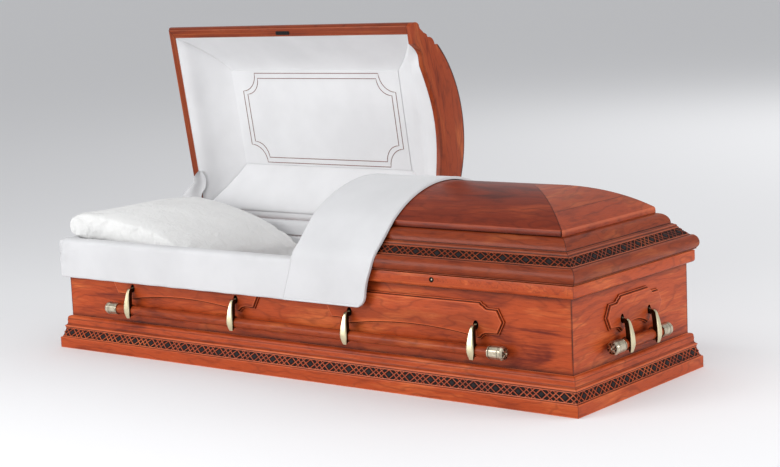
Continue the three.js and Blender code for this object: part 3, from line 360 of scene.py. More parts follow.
def flat_paint(name, colour, rough, metallic=0.0):
    """A dull painted or stained surface with a little grit in it."""
    f = Finish(name)
    grit = f.noise(f.place(), 240.0, 3.0)
    f.set(Base_Color=f.ramp(grit, [(0.3, shade(colour, 0.6)), (0.7, colour)]).outputs[0], Roughness=rough,
          Metallic=metallic, Specular_IOR_Level=0.12)
    f.bump(grit, 0.0003, 0.4)
    return f.material


# How far the painted shade reaches from each edge of a board, where it is full, and the power of its fading
SHADE_REACH = {"rim": 24, "plinth": 22, "corner": 7, "edge": 1, "fade": 1.6}
TONES = ((0.155, 0.017, 0.005), (0.435, 0.066, 0.014), (0.62, 0.138, 0.035))
# crown tones: the same stain darkened as painted shade
TONES_CROWN_SHADED = ((0.088, 0.010, 0.003), (0.185, 0.022, 0.005), (0.30, 0.048, 0.012))
TONES_LIGHT = ((0.13, 0.015, 0.005), (0.31, 0.044, 0.010), (0.42, 0.080, 0.020))
CHERRY = wood("cherry", TONES)
# Darker copies of one stain: painted shade on the lid's boards and mouldings and, darkest, on the crown; the
# bars take the 0.72 copy as their own darker cherry
CHERRY_SHADED_AND_DARK = wood("cherry_painted_shade_and_dark", [shade(tone, 0.72) for tone in TONES])
CHERRY_MOULD_SHADED = wood("cherry_lid_mouldings_painted_shade", [shade(tone, 0.54) for tone in TONES])
CHERRY_X = wood("cherry_boards_long", TONES, axis="x")
CHERRY_Y = wood("cherry_boards_end", TONES, axis="y")
CHERRY_CROWN_SHADED = wood("cherry_crown_painted_shade", TONES_CROWN_SHADED)
CHERRY_PALE = wood("cherry_pale", TONES_LIGHT)
# near-black paint for the shade in holes, slots and the deepest carving
RECESS_SHADE = flat_paint("painted_shade_recess", (0.016, 0.006, 0.004), 0.6)
SLATE = flat_paint("slate_stain", (0.019, 0.014, 0.015), 0.5)
# One crepe in two copies: the lining's lighter copy is painted light inside the shaded lid and box, the
# darker copy for skirt and overlay is painted shade under the full lamps
WHITE = cloth("white_crepe", (0.75, 0.75, 0.76), 0.0006)
WHITE_CREPE_SHADED = cloth("white_crepe_painted_shade", (0.64, 0.64, 0.65), 0.0009)
PILLOW_CLOTH = cloth("crushed_off_white", (0.77, 0.77, 0.76), 0.009)
THREAD = flat_paint("stitching_thread", (0.30, 0.16, 0.13), 0.7)
GOLD = metal("champagne_gold", (0.74, 0.66, 0.44), 0.30, (0.35, 0.26, 0.12))
BRASS = metal("antique_silver_brass", (0.62, 0.55, 0.42), 0.34, (0.16, 0.12, 0.08), speckle=0.6)
BLACK = flat_paint("blackened_steel", (0.02, 0.02, 0.02), 0.4, 0.6)


# Shapes, gathered before they become one mesh
class Shape:
    """Points and faces with each point's grain, its glaze and painted light, and each face's paint."""

    def __init__(self):
        self.points, self.grain, self.glaze_and_painted_light = [], [], []
        self.faces, self.paint = [], []
        self.count = 0

    def add(self, points, faces, grain=None, glaze_and_painted_light=None, paint=0):
        points = np.asarray(points, float).reshape(-1, 3)
        start, self.count = self.count, self.count + len(points)
        self.points.append(points)
        self.grain.append(points * MM if grain is None else np.asarray(grain, float).reshape(-1, 3))
        self.glaze_and_painted_light.append(np.zeros(len(points)) if glaze_and_painted_light is None else np.asarray(glaze_and_painted_light, float))
        self.faces += [[start + i for i in face] for face in faces]
        self.paint += list(paint) if hasattr(paint, "__len__") else [paint] * len(faces)
        return self

    def moved(self, change):
        if change:
            self.points = [change(p) for p in self.points]
        return self

    def build(self, name, materials, body, nodes=(), slot=None, sharp=30):
        mesh = bpy.data.meshes.new(name)
        mesh.from_pydata((np.vstack(self.points) * MM).tolist(), [], self.faces)
        for key, kind, values in (("grain", "FLOAT_VECTOR", np.vstack(self.grain)),
                                  ("glaze_and_painted_light", "FLOAT", np.concatenate(self.glaze_and_painted_light))):
            made = mesh.attributes.new(key, kind, "POINT")
            made.data.foreach_set("vector" if kind == "FLOAT_VECTOR" else "value",
                                  values.astype(np.float32).ravel())
        materials = materials if isinstance(materials, (list, tuple)) else [materials]
        for material in materials:
            mesh.materials.append(material)
        mesh.polygons.foreach_set("material_index", np.array(self.paint, np.int32))
        return place_mesh(name, mesh, body, nodes, sharp)


def place_mesh(name, mesh, body, nodes, sharp):
    """Turns the faces outwards, shades them and makes the piece ride on its body."""
    work = bmesh.new()
    work.from_mesh(mesh)
    bmesh.ops.remove_doubles(work, verts=work.verts, dist=1e-6)
    bmesh.ops.recalc_face_normals(work, faces=work.faces)
    work.to_mesh(mesh)
    work.free()
    mesh.shade_smooth()
    mesh.set_sharp_from_angle(angle=math.radians(sharp))
    piece = linked(name, mesh)
    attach(piece, body)
    if nodes:
        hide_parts(*nodes)
    return piece


def loft_faces(count, loops, closed_section=True, closed_run=False):
    """Quads between loops of count points each."""
    faces = []
    for i in range(loops if closed_run else loops - 1):
        here, there = i * count, ((i + 1) % loops) * count
        for j in range(count if closed_section else count - 1):
            k = (j + 1) % count
            faces.append([here + j, here + k, there + k, there + j])
    return faces


def capped(count, loops):
    """Faces of a tube, with one over each end."""
    last = count * (loops - 1)
    return loft_faces(count, loops) + [list(range(count)), list(range(last, last + count))]


def two_sided(columns, rows):
    """Faces of a thick sheet: its front grid, its back grid, whose points follow, and the edge between."""
    size = columns * rows
    front = loft_faces(columns, rows, closed_section=False)
    border = list(range(columns)) + [i * columns + columns - 1 for i in range(1, rows)]
    border += [(rows - 1) * columns + j for j in range(columns - 2, -1, -1)]
    border += [i * columns for i in range(rows - 2, 0, -1)]
    return front + [[i + size for i in f] for f in front] + [
        [a, b, b + size, a + size] for a, b in zip(border, border[1:] + border[:1])]


def winding(outline):
    """1 where a closed outline runs anticlockwise, else -1."""
    here = np.asarray(outline)
    after = np.roll(here, -1, axis=0)
    return 1 if np.sum(here[:, 0] * after[:, 1] - after[:, 0] * here[:, 1]) > 0 else -1


def arc(cx, cz, radius, start, end, steps):
    angles = np.radians(np.linspace(start, end, steps + 1))
    return [(cx + radius * math.cos(a), cz + radius * math.sin(a)) for a in angles]


def dress(outline, sharp=18.0):
    """Points beside each sharp corner of a closed outline, and the glaze there: glaze and painted shade in
    grooves, a painted highlight on edges."""
    pts = np.array(outline, float)
    sign = winding(pts)
    made, glaze_and_painted_light = [], []
    for i in range(len(pts)):
        a, b = pts[i] - pts[i - 1], pts[(i + 1) % len(pts)] - pts[i]
        turn = sign * math.degrees(math.atan2(a[0] * b[1] - a[1] * b[0], a @ b))
        if abs(turn) < sharp:
            made.append(pts[i])
            glaze_and_painted_light.append(0.0)
            continue
        value = min(-turn / 45, 1.0) if turn < 0 else -min(turn / 70, 1.0)
        for step, weight in ((-3.2, 0.0), (-1.2, 0.5), (0.0, 1.0), (1.2, 0.5), (3.2, 0.0)):
            edge = a if step < 0 else b
            size = np.linalg.norm(edge)
            if size > 2 * abs(step):
                made.append(pts[i] + edge / size * step)
                glaze_and_painted_light.append(value * weight)
    return np.array(made), np.array(glaze_and_painted_light)


def mitre(sx, sy):
    """A corner of the box: its plan position at a given inset."""
    return lambda inset: np.array([sx * (HALF_L - inset), sy * (HALF_W - inset)])


def square_cut(x, sy):
    return lambda inset: np.array([x, sy * (HALF_W - inset)])


class Run:
    """A straight stretch of moulding between two ends."""

    def __init__(self, start, end, seed):
        self.start, self.end, self.seed = start, end, seed
        self.length = float(np.linalg.norm(end(0) - start(0)))

    def at(self, share, inset, z):
        x, y = self.start(inset) * (1 - share) + self.end(inset) * share
        return x, y, z


def four_runs():
    ends = [mitre(-1, -1), mitre(1, -1), mitre(1, 1), mitre(-1, 1)]
    return [Run(ends[i], ends[(i + 1) % 4], i) for i in range(4)]


def three_runs(cut, end):
    return [Run(square_cut(cut, -1), mitre(end, -1), 4 + end), Run(mitre(end, -1), mitre(end, 1), 5 + end),
            Run(mitre(end, 1), square_cut(cut, 1), 6 + end)]


def moulded(shape, run, outline, line=0.45):
    """One board of moulding along a run, its ends darkened where they meet the next board."""
    section, glaze_and_painted_light = dress(outline)
    steps = np.linalg.norm(np.diff(np.vstack([section, section[:1]]), axis=0), axis=1)
    across = np.concatenate([[0], np.cumsum(steps)[:-1]])
    gap, line_at = 0.15 / run.length, 2.5 / run.length
    shares = [gap, line_at, 1 - line_at, 1 - gap]
    points, grain, dark = [], [], []
    for share, end in zip(shares, (True, False, False, True)):
        points += [run.at(share, i, z) for i, z in section]
        grain += [(share * run.length * MM + run.seed * 3.1, s * MM + run.seed * 1.7, 0.0) for s in across]
        dark += list(np.maximum(glaze_and_painted_light, line) if end else glaze_and_painted_light)
    shape.add(points, capped(len(section), len(shares)), grain, dark)


# The carved band: one repeat of its lattice, in cells whose outlines are the ridges of the ribs
def lattice_cells():
    """Cells of one repeat about its wide diamond, in shares of the pitch across and in half heights
    up, with what each of their edges is."""
    near, low = (WIDE + 0.5) / 2, (0.5 - WIDE) / 2 / WIDE
    out, back = 2 * WIDE, 0.5 - WIDE
    cells = [([(-WIDE, 0), (0, -1), (WIDE, 0), (0, 1)], ["rib"] * 4)]
    for sx in (-1, 1):
        cells.append(([(sx * WIDE, 0), (sx * near, low), (sx * 0.5, 0), (sx * near, -low)], ["rib"] * 4))
        for sy in (-1, 1):
            cells.append(([(sx * WIDE, 0), (sx * near, sy * low), (sx * back, sy), (0, sy)],
                          ["rib", "rib", "lip", "rib"]))
            cells.append(([(sx * near, sy * low), (sx * out, sy), (sx * back, sy)], ["rib", "lip", "rib"]))
            cells.append(([(sx * 0.5, 0), (sx * 0.5, sy), (sx * out, sy), (sx * near, sy * low)],
                          ["cut", "lip", "rib", "rib"]))
    return cells


def inward(cell, distances):
    """A convex outline with each edge moved in by its own distance."""
    count = len(cell)
    sign = winding(cell)
    lines = []
    for i in range(count):
        a, b = cell[i], cell[(i + 1) % count]
        along = (b - a) / np.linalg.norm(b - a)
        normal = np.array([-along[1], along[0]]) * sign
        lines.append((a + normal * distances[i], along))
    moved = []
    for i in range(count):
        (p, d), (q, e) = lines[i - 1], lines[i]
        cross = d[0] * e[1] - d[1] * e[0]
        t = ((q[0] - p[0]) * e[1] - (q[1] - p[1]) * e[0]) / cross
        moved.append(p + d * t)
    return np.array(moved)


def inradius(cell):
    centre = cell.mean(axis=0)
    best = 1e9
    for i in range(len(cell)):
        a, b = cell[i], cell[(i + 1) % len(cell)]
        along = (b - a) / np.linalg.norm(b - a)
        best = min(best, abs(along[0] * (centre - a)[1] - along[1] * (centre - a)[0]))
    return best


def carve_repeat(pitch, half):
    """Points [u, v, height], faces and paint of one repeat."""
    points, faces, paint = [], [], []
    for n, (cell, edges) in enumerate(lattice_cells()):
        ridge = np.array(cell) * (pitch, half)
        room = min(1.0, 0.8 * inradius(ridge) / RIB)
        levels = [([{"rib": s * RIB * room, "lip": s * 0.8 * room, "cut": 0.0}[e] for e in edges], d, 0)
                  for s, d in RIB_PROFILE]
        if n == 0:
            levels += [([RIB + inside] * 4, depth, colour) for inside, depth, colour in DIAMOND_STEPS]
        start = len(points)
        for distances, depth, _ in levels:
            points += [(u, v, -CARVING * depth * (room if depth < 1 else 1)) for u, v in
                       inward(ridge, distances)]
        count = len(cell)
        for level in range(len(levels) - 1):
            for i in range(count):
                if edges[i] == "cut":
                    continue
                k = (i + 1) % count
                here, there = start + level * count, start + (level + 1) * count
                faces.append([here + i, here + k, there + k, there + i])
                paint.append(max(levels[level + 1][2], 1 if level == 2 else 0))
        faces.append([start + (len(levels) - 1) * count + i for i in range(count)])
        paint.append(1 if n else 2)
    return points, faces, paint


def band_axes(foot, top):
    """A band's width, the way up along it and the way into the wood."""
    along = np.subtract(top, foot, dtype=float)
    width = np.linalg.norm(along)
    along /= width
    return width, along, np.array([along[1], -along[0]])


def carved_band(shape, run, foot, top, periods, phase=0.5):
    """The lattice of one run, closed underneath, set in the recess of its moulding. Its first wide
    diamond lies phase repeats from the start."""
    width, along, inside = band_axes(foot, top)
    half = width / 2 - LIP
    middle = np.add(foot, top) / 2
    start, end = run.start(middle[0]), run.end(middle[0])
    length = float(np.linalg.norm(end - start))
    pitch = length / periods
    points, faces, paint = carve_repeat(pitch, half)
    work = bmesh.new()
    verts = {}
    for period in range(-1, periods + 1):
        base = [(u + pitch * (period + phase), v, h) for u, v, h in points]
        keys = [tuple(round(c, 3) for c in p) for p in base]
        for key, p in zip(keys, base):
            if key not in verts:
                verts[key] = work.verts.new(p)
        for face, colour in zip(faces, paint):
            loop = []
            for i in face:
                if verts[keys[i]] not in loop:
                    loop.append(verts[keys[i]])
            if len(loop) > 2:
                made = work.faces.new(loop)
                made.material_index = colour
    for at, side in ((0, -1), (length, 1)):
        bmesh.ops.bisect_plane(work, geom=work.verts[:] + work.edges[:] + work.faces[:], dist=1e-4,
                               plane_co=(at, 0, 0), plane_no=(side, 0, 0), clear_outer=True)
    rim = [e for e in work.edges if e.is_boundary]
    skirt = bmesh.ops.extrude_edge_only(work, edges=rim)["geom"]
    for v in skirt:
        if isinstance(v, bmesh.types.BMVert):
            v.co.z = -CARVING - 0.5
    loop = [g for g in skirt if isinstance(g, bmesh.types.BMEdge)]
    bmesh.ops.contextual_create(work, geom=loop)
    work.verts.index_update()
    flat = np.array([v.co[:] for v in work.verts])
    index = [[v.index for v in f.verts] for f in work.faces]
    colours = [f.material_index for f in work.faces]
    work.free()
    places, grain = [], []
    for u, v, h in flat:
        inset, z = middle + along * v - inside * h
        places.append(run.at(u / length, inset, z))
        grain.append((u * MM + run.seed * 3.1, v * MM + run.seed * 1.7, 0.3))
    shape.add(places, index, grain, np.full(len(places), LATTICE_GLAZE), colours)


def band_recess(foot, top):
    """The part of an outline that holds a carved band: lip, sunk ground, lip."""
    width, along, inside = band_axes(foot, top)
    deep = CARVING + 0.6
    return [tuple(foot + along * s + inside * d) for s, d in (
        (0, 0), (LIP - 0.1, 0), (LIP - 0.1, deep), (width - LIP + 0.1, deep), (width - LIP + 0.1, 0),
        (width, 0))]


# Body
def plinth():
    foot, top = BASE_BAND
    back = WALL_INSET - 0.3
    ti, tz = top
    outline = [(back, 0), (0.6, 0), (0, 0.6), (0, BLOCK_HEIGHT - BLOCK_EASE - 2)]
    outline += arc(BLOCK_EASE, BLOCK_HEIGHT - BLOCK_EASE, BLOCK_EASE, 180, 100, 4)
    outline += band_recess(foot, top)
    outline += [(ti - 0.5, tz + 1.6), (ti - 2.2, tz + 2.6), (ti - 2.6, tz + 4.6), (ti - 1.6, tz + 7.0)]
    outline += [(ti + 0.4, COVE["low"])]
    outline += [(ti + 2.2, COVE["low"] + 1.2), (ti + 4.6, COVE["low"] + 4.6), (ti + 5.4, COVE["mid"] + 3)]
    outline += [(ti + 4.9, COVE["mid"] + 8), (ti + 5.2, COVE["high"] - 2), (ti + 6.0, COVE["high"])]
    outline += arc(ti + 14.5, COVE["high"] + 2.2, 8.6, 178, 100, 7)
    outline += [(back, PLINTH_TOP)]
    shape = Shape()
    for run, periods in zip(four_runs(), BASE_PERIODS * 2):
        moulded(shape, run, outline)
        carved_band(shape, run, foot, top, periods)
    shape.build("plinth", [CHERRY, RECESS_SHADE, SLATE], "root", ["base_moulding"], "cherry")


def rim():
    outline = [(RIM_INNER, RIM_LOW)]
    outline += arc(RIM_INSET + RIM_ROUND, RIM_LOW + RIM_ROUND, RIM_ROUND, 270, 180, 8)
    outline += arc(RIM_INSET + 2, RIM_TOP - 2, 2, 180, 90, 3)
    outline += arc(RIM_INNER - 2, RIM_TOP - 2, 2, 90, 0, 3)
    shape = Shape()
    for run in four_runs():
        moulded(shape, run, outline)
    piece = shape.build("rim", [CHERRY, RECESS_SHADE], "root", ["rim_moulding"], "cherry")
    centre = (KEYHOLE["x"], -(HALF_W - RIM_INSET), KEYHOLE["z"])
    bore = bpy.data.meshes.new("bore")
    drill = bmesh.new()
    place = Matrix.Translation(Vector(centre) * MM)
    bmesh.ops.create_cone(drill, cap_ends=True, segments=24, radius1=KEYHOLE["radius"] * MM,
                          radius2=KEYHOLE["radius"] * MM, depth=2 * KEYHOLE["depth"] * MM,
                          matrix=place @ Matrix.Rotation(math.pi / 2, 4, "X"))
    drill.to_mesh(bore)
    drill.free()
    cutter = linked("bore", bore)
    bore.materials.append(RECESS_SHADE)
    cut = piece.modifiers.new("keyhole", "BOOLEAN")
    cut.operation, cut.solver, cut.object = "DIFFERENCE", "EXACT", cutter
    apply_modifiers(piece)
    bpy.data.objects.remove(cutter)
    plate = Shape()
    turned(plate, [(4.9, -6), (4.9, 1.0), (6.0, 1.6), (8.0, 0.9), (8.0, -0.2)], centre, "y", 28, glaze_and_painted_light=1.0)
    turned(plate, [(0.05, -6), (2.6, -6), (2.6, -0.6), (1.8, 0.0), (0.05, 0.0)], centre, "y", 16)
    plate.build("keyhole_ferrule", BRASS, "root", slot="antique_brass")


def apply_modifiers(piece):
    """Replaces the piece's mesh by what its modifiers make of it."""
    bpy.context.view_layer.update()
    seen = piece.evaluated_get(bpy.context.evaluated_depsgraph_get())
    mesh = bpy.data.meshes.new_from_object(seen)
    piece.modifiers.clear()
    piece.data = mesh
    mesh.shade_smooth()
    mesh.set_sharp_from_angle(angle=math.radians(30))


def turned(shape, profile, centre, axis, sides, glaze_and_painted_light=0.0):
    """A profile of [radius, distance] pairs turned about an axis through a point."""
    loops = []
    for k in range(sides):
        angle = 2 * math.pi * k / sides
        for r, d in profile:
            a, b = r * math.cos(angle), r * math.sin(angle)
            offset = {"x": (d, a, b), "-x": (-d, a, b), "y": (a, -d, b), "z": (a, b, d)}[axis]
            loops.append(np.array(centre) + offset)
    shape.add(loops, loft_faces(len(profile), sides, closed_run=True), None, np.full(len(loops), glaze_and_painted_light))


def kept_boards():
    """Frame nodes whose shape is already right take their finish here."""
    for nodes, finish in ((("side_board_front", "side_board_back", "floor_board"), CHERRY_X),
                          (("end_board_head", "end_board_foot"), CHERRY_Y)):
        for node in nodes:
            materials = frame["nodes"][node].data.materials
            materials.clear()
            materials.append(finish)


# Applied panels
def panel_outline(half):
    """Ogee shoulders, pointed ends and an arched foot, as [across, height] pairs."""
    shoulder, point, hip = 285, 246, 206
    right = [(half - 96, PANEL_TOP)]
    right += [(half - 85 + 9 * math.sin(a), PANEL_TOP - 9 * (1 - math.cos(a)))
              for a in np.radians((0, 25, 50, 75))]
    right += [(half - 55 - 11 * math.cos(a), shoulder + 9 - 9 * math.sin(a))
              for a in np.radians((15, 40, 65, 90))]
    right += [(half - 21, shoulder), (half, point), (half - 21, hip), (half - 53, hip)]
    right += [(half - 53 - 27 * math.sin(a), hip - 14 * (1 - math.cos(a)))
              for a in np.radians((25, 50, 75))]
    right += [(half - 86, PANEL_BOTTOM)]
    span = half - 93
    foot = [(span * s, PANEL_BOTTOM + 20 * math.cos(s * math.pi / 2) ** 0.8)
            for s in (1.0, 0.97, 0.9, 0.8, 0.65, 0.45, 0.22, 0.0)]
    side = right + foot
    return np.array(side + [(-u, z) for u, z in reversed(side[:-1])])


def offset_outline(outline, distance):
    """Every edge of a closed outline moved inwards by one distance."""
    sign = winding(outline)
    made = []
    for i, here in enumerate(outline):
        a, b = here - outline[i - 1], outline[(i + 1) % len(outline)] - here
        n0 = np.array([-a[1], a[0]]) / np.linalg.norm(a) * sign
        n1 = np.array([-b[1], b[0]]) / np.linalg.norm(b) * sign
        made.append(here + (n0 + n1) * distance / (1 + n0 @ n1))
    return np.array(made)


def filled(loops):
    """Triangles that fill an outline with holes in it, as indices into the loops in a row."""
    flat = [[Vector((u, v, 0)) for u, v in loop] for loop in loops]
    return [list(t) for t in tessellate_polygon(flat)]


def oval(middle, grow, count):
    """The slot round a pivot, as [across, height] pairs."""
    return [(middle + (SLOT[0] + grow) * math.cos(a), PIVOT + (SLOT[1] + grow) * math.sin(a))
            for a in np.linspace(0, 2 * math.pi, count, endpoint=False)]


def applied_panel(name, node, half, arms, place, seed):
    """A raised panel with a quirk round its field and a slot for every arm, its walls and floor painted dark
    as shade.
    """
    outline = panel_outline(half)
    sides, floor_sides = 28, 24
    slots = [oval(u, 0, sides) for u in arms]
    # Inset, height and glaze of each line round the panel, from the board up to the field: painted shade
    # where it meets the board and in the quirk, a painted highlight (below zero) on the step edges
    levels = [(0.0, 0.2, 1.0), (0.3, 1.2, 0.6), (0.9, PANEL_STEP - 0.9, 0.0), (2.2, PANEL_STEP, -0.55),
              (3.3, PANEL_STEP - 0.1, 0.6), (3.9, PANEL_STEP - 0.7, 1.0), (4.7, PANEL_STEP - 0.4, 1.0),
              (5.2, PANEL_STEP + 1.0, 0.6), (6.2, PANEL_THICK - 1.4, 0.0), (7.8, PANEL_THICK - 0.3, -0.55),
              (10.0, PANEL_THICK, 0.0)]
    rings = [(offset_outline(outline, d) if d else outline, out, dark) for d, out, dark in levels]
    field = rings[-1][0]
    # slot walls darkening inwards: painted shade in the slot
    slot_levels = ((PANEL_THICK, 0.2), (PANEL_THICK - 1.2, 0.9), (0.3, 1.0))
    rings += [(slot, out, dark) for slot in slots for out, dark in slot_levels]
    points, glaze_and_painted_light, grain = [], [], []
    for ring, out, dark in rings:
        points += [place(u, z, out) for u, z in ring]
        glaze_and_painted_light += [dark] * len(ring)
        grain += [(u * MM + seed * 2.3, z * MM + seed, 0) for u, z in ring]
    count = len(outline)
    faces = loft_faces(count, len(levels))
    start = len(levels) * count
    front, back = list(range(start - count, start)), list(range(count))
    for first in range(start, len(points), len(slot_levels) * sides):
        faces += [[first + a for a in f] for f in loft_faces(sides, len(slot_levels))]
        front += range(first, first + sides)
        back += range(first + 2 * sides, first + 3 * sides)
    for index, edge in ((front, field), (back, outline)):
        faces += [[index[i] for i in t] for t in filled([edge, *slots])]
    shape = Shape().add(points, faces, grain, glaze_and_painted_light)
    for u in arms:
        floor = [place(v, z, out) for out in (0.1, 0.9) for v, z in oval(u, 1, floor_sides)]
        shape.add(floor, capped(floor_sides, 2), None, np.ones(len(floor)), 1)
    shape.build(name, [CHERRY, RECESS_SHADE], "root", [node], "cherry", sharp=25)


def applied_panels():
    seed = 0
    half = ARM_SPACING / 2
    for side, sy in (("front", -1), ("back", 1)):
        for end, sx in (("head", -1), ("foot", 1)):
            def on_side(u, z, out, sx=sx, sy=sy):
                return sx * ARM_SPACING + u, sy * (WALL_Y + out), z
            applied_panel(f"applied_panel_{side}_{end}", f"panel_{side}_{end}", half + PANEL_BEYOND_ARM,
                          (-half, half), on_side, seed)
            seed += 1
    half = SHORT_ARM_SPACING / 2
    for end, sx in (("head", -1), ("foot", 1)):
        def on_end(u, z, out, sx=sx):
            return sx * (WALL_X + out), u, z
        applied_panel(f"applied_panel_{end}_end", f"panel_end_{end}", half + END_PANEL_BEYOND_ARM,
                      (-half, half), on_end, seed)
        seed += 1


# Lids
def lid_face():
    """Outside of the lid from its lower edge to the top of the quarter round."""
    torus = [(LID_INSET + 2.5, LID_BOTTOM), (LID_INSET + 0.4, LID_BOTTOM + 1.2)]
    middle = LID_BOTTOM + 19
    for a in np.radians(np.linspace(-62, 74, 12)):
        rise = 18.0 if a < 0 else 27.0
        torus.append((LID_WIDEST + 19.5 * (1 - math.cos(a)) * (0.75 if a < 0 else 1.0),
                      middle + rise * math.sin(a)))
    torus += [(LID_BAND[0][0] - 1.5, LID_BAND[0][1] - 2.0)]
    face = torus + band_recess(*LID_BAND)
    face += [(BEAD["inset"] - 2.2, BEAD["low"] + 0.2), (BEAD["inset"] - 0.6, BEAD["low"] + 1.4)]
    face += [(BEAD["inset"] - 0.2, BEAD["high"] - 3), (BEAD["inset"] + 1.0, BEAD["high"] - 0.6)]
    face += [(STEP_INSET - 1.2, BEAD["high"] + 2.2), (STEP_INSET, BEAD["high"] + 3.4)]
    face += arc(OVOLO["inset"] + OVOLO["radius"], OVOLO["z"], OVOLO["radius"], 180, 92, 14)
    return face


def crown_height(inset, sink=0.0):
    across = max(HALF_W - inset, 0.0)
    return CROWN_APEX - CROWN_RADIUS + math.sqrt(max((CROWN_RADIUS - sink) ** 2 - across ** 2, 0.0))


def lid_frame(name, node, cut, end, body, periods, change):
    """Three boards of carved moulding, mitred at the corners."""
    lip = LID_INSET + LID_WOOD
    top = OVOLO["inset"] + OVOLO["radius"]
    outline = lid_face()
    outline += [(top + 22, OVOLO_TOP_Z), (top + 22, OVOLO_TOP_Z - 11), (top + 8, OVOLO_TOP_Z - 17),
                (OVOLO["inset"] + 22, OVOLO["z"]), (LID_BAND[1][0] + 16, LID_BAND[1][1] - 12),
                (lip, LID_BAND[0][1] - 14), (lip, LID_BOTTOM + 1), (lip - 1, LID_BOTTOM)]
    shape = Shape()
    along, across = periods
    for run, count, phase in zip(three_runs(cut, end), (along, across, along), (0.12, 0.6, 0.88)):
        moulded(shape, run, outline, line=0.7)
        carved_band(shape, run, *LID_BAND, count, phase)
    shape.moved(change).build(name, [CHERRY_MOULD_SHADED, RECESS_SHADE, SLATE], body, [node], "cherry")


def crown_long(name, node, cut, end, body, change):
    """The vaulted top board, cut at the hip along two sloping ridges."""
    tip = HALF_L - HALF_W
    ys = CROWN_HALF * np.sin(np.linspace(-math.pi / 2, math.pi / 2, 41))
    outer = [(-CROWN_HALF - o, CROWN_BASE + h) for o, h in CROWN_NOSE]
    outer += [(y, crown_height(HALF_W - abs(y))) for y in ys]
    outer += [(CROWN_HALF + o, CROWN_BASE + h) for o, h in reversed(CROWN_NOSE)]
    half = CROWN_HALF - CROWN_LAND
    narrow = half / (CROWN_HALF + CROWN_NOSE[1][0])
    inner = [(y * narrow, crown_height(HALF_W - abs(y) * narrow, CROWN_BOARD)) for y, _ in outer]
    for k in (0, 1, 2):
        inner[k] = (-half, CROWN_BASE + 0.01 * k)
        inner[-1 - k] = (half, CROWN_BASE + 0.01 * k)
    count = len(outer)
    # painted shade under the crown's nose and a painted highlight on its edge
    nose_shade_and_highlight = {0: 0.5, count - 1: 0.5, 3: -0.8, count - 4: -0.8}
    shares = [0.0, 0.004, 0.25, 0.5, 0.75, 0.994, 1.0]
    lengths = np.concatenate([[0], np.cumsum(np.hypot(*np.diff(np.array(outer), axis=0).T))])
    points, grain, glaze_and_painted_light = [], [], []
    for row, sink in ((outer, 0), (inner, 1)):
        for share in shares:
            for k, (y, z) in enumerate(row):
                reach = tip + min(abs(outer[k][0]), CROWN_HALF) - 0.25
                x = cut + (reach * end - cut) * share
                points.append((x, y, z))
                grain.append((x * MM + end * 4, lengths[k] * MM, sink))
                side = nose_shade_and_highlight.get(k, 0.0)
                glaze_and_painted_light.append(max(EDGE_GLAZE, side) if share in (0.0, 1.0) else side)
    shape = Shape().add(points, two_sided(count, len(shares)), grain, glaze_and_painted_light)
    shape.moved(change).build(name, CHERRY_CROWN_SHADED, body, [node], "cherry", sharp=35)


def crown_hip(name, node, end, body, change):
    """The hipped end of the crown: two boards across the lid, the lower one paler."""
    tip = HALF_L - HALF_W
    split = HIP_BOARD_X - tip
    shares = np.concatenate([[-1, -0.988], np.linspace(-0.9, 0.9, 13), [0.988, 1]])
    shape = Shape()
    for start, stop, paint in ((0.6, split - 0.15, 0), (split + 0.15, CROWN_HALF, 1)):
        rows = [(d, crown_height(HALF_W - d)) for d in [start, *np.linspace(start + 2, stop - 2, 10), stop]]
        edge = len(rows)
        if paint:
            rows += [(CROWN_HALF + o, CROWN_BASE + h) for o, h in reversed(CROWN_NOSE)]
        points, grain, glaze_and_painted_light = [], [], []
        for level in (0, 1):
            for n, (d, z) in enumerate(rows):
                low = max(z - CROWN_BOARD, CROWN_BASE) if level else z
                for share in shares:
                    y = share * max(min(d, CROWN_HALF + 3) - 0.25, 0.1)
                    points.append(((tip + d) * end, y, low))
                    grain.append((y * MM + 7 * paint + end, d * MM + 3, level))
                    joint = abs(share) == 1 or n in (0, len(rows) - 1)
                    # painted highlight on the nose's upper edge
                    edge_highlight = -0.6 if n in (edge, edge + 1) else 0.0
                    glaze_and_painted_light.append(EDGE_GLAZE if joint and n < edge else edge_highlight)
        shape.add(points, two_sided(len(shares), len(rows)), grain, glaze_and_painted_light, paint)
    shape.moved(change).build(name, [CHERRY_SHADED_AND_DARK, CHERRY_PALE], body, [node], "cherry", sharp=35)


def arch_height(y):
    across = abs(y)
    if across > ARCH["half"]:
        return LID_BOTTOM
    if across > ARCH["shoulder"]:
        share = (ARCH["half"] - across) / (ARCH["half"] - ARCH["shoulder"])
        return LID_BOTTOM + ARCH["low"] * math.sin(share * math.pi / 2)
    if across > ARCH["ledge"]:
        return LID_BOTTOM + ARCH["low"]
    share = 1 - across / ARCH["ledge"]
    return LID_BOTTOM + ARCH["low"] + (ARCH["high"] - ARCH["low"]) * math.sin(share * math.pi / 2)


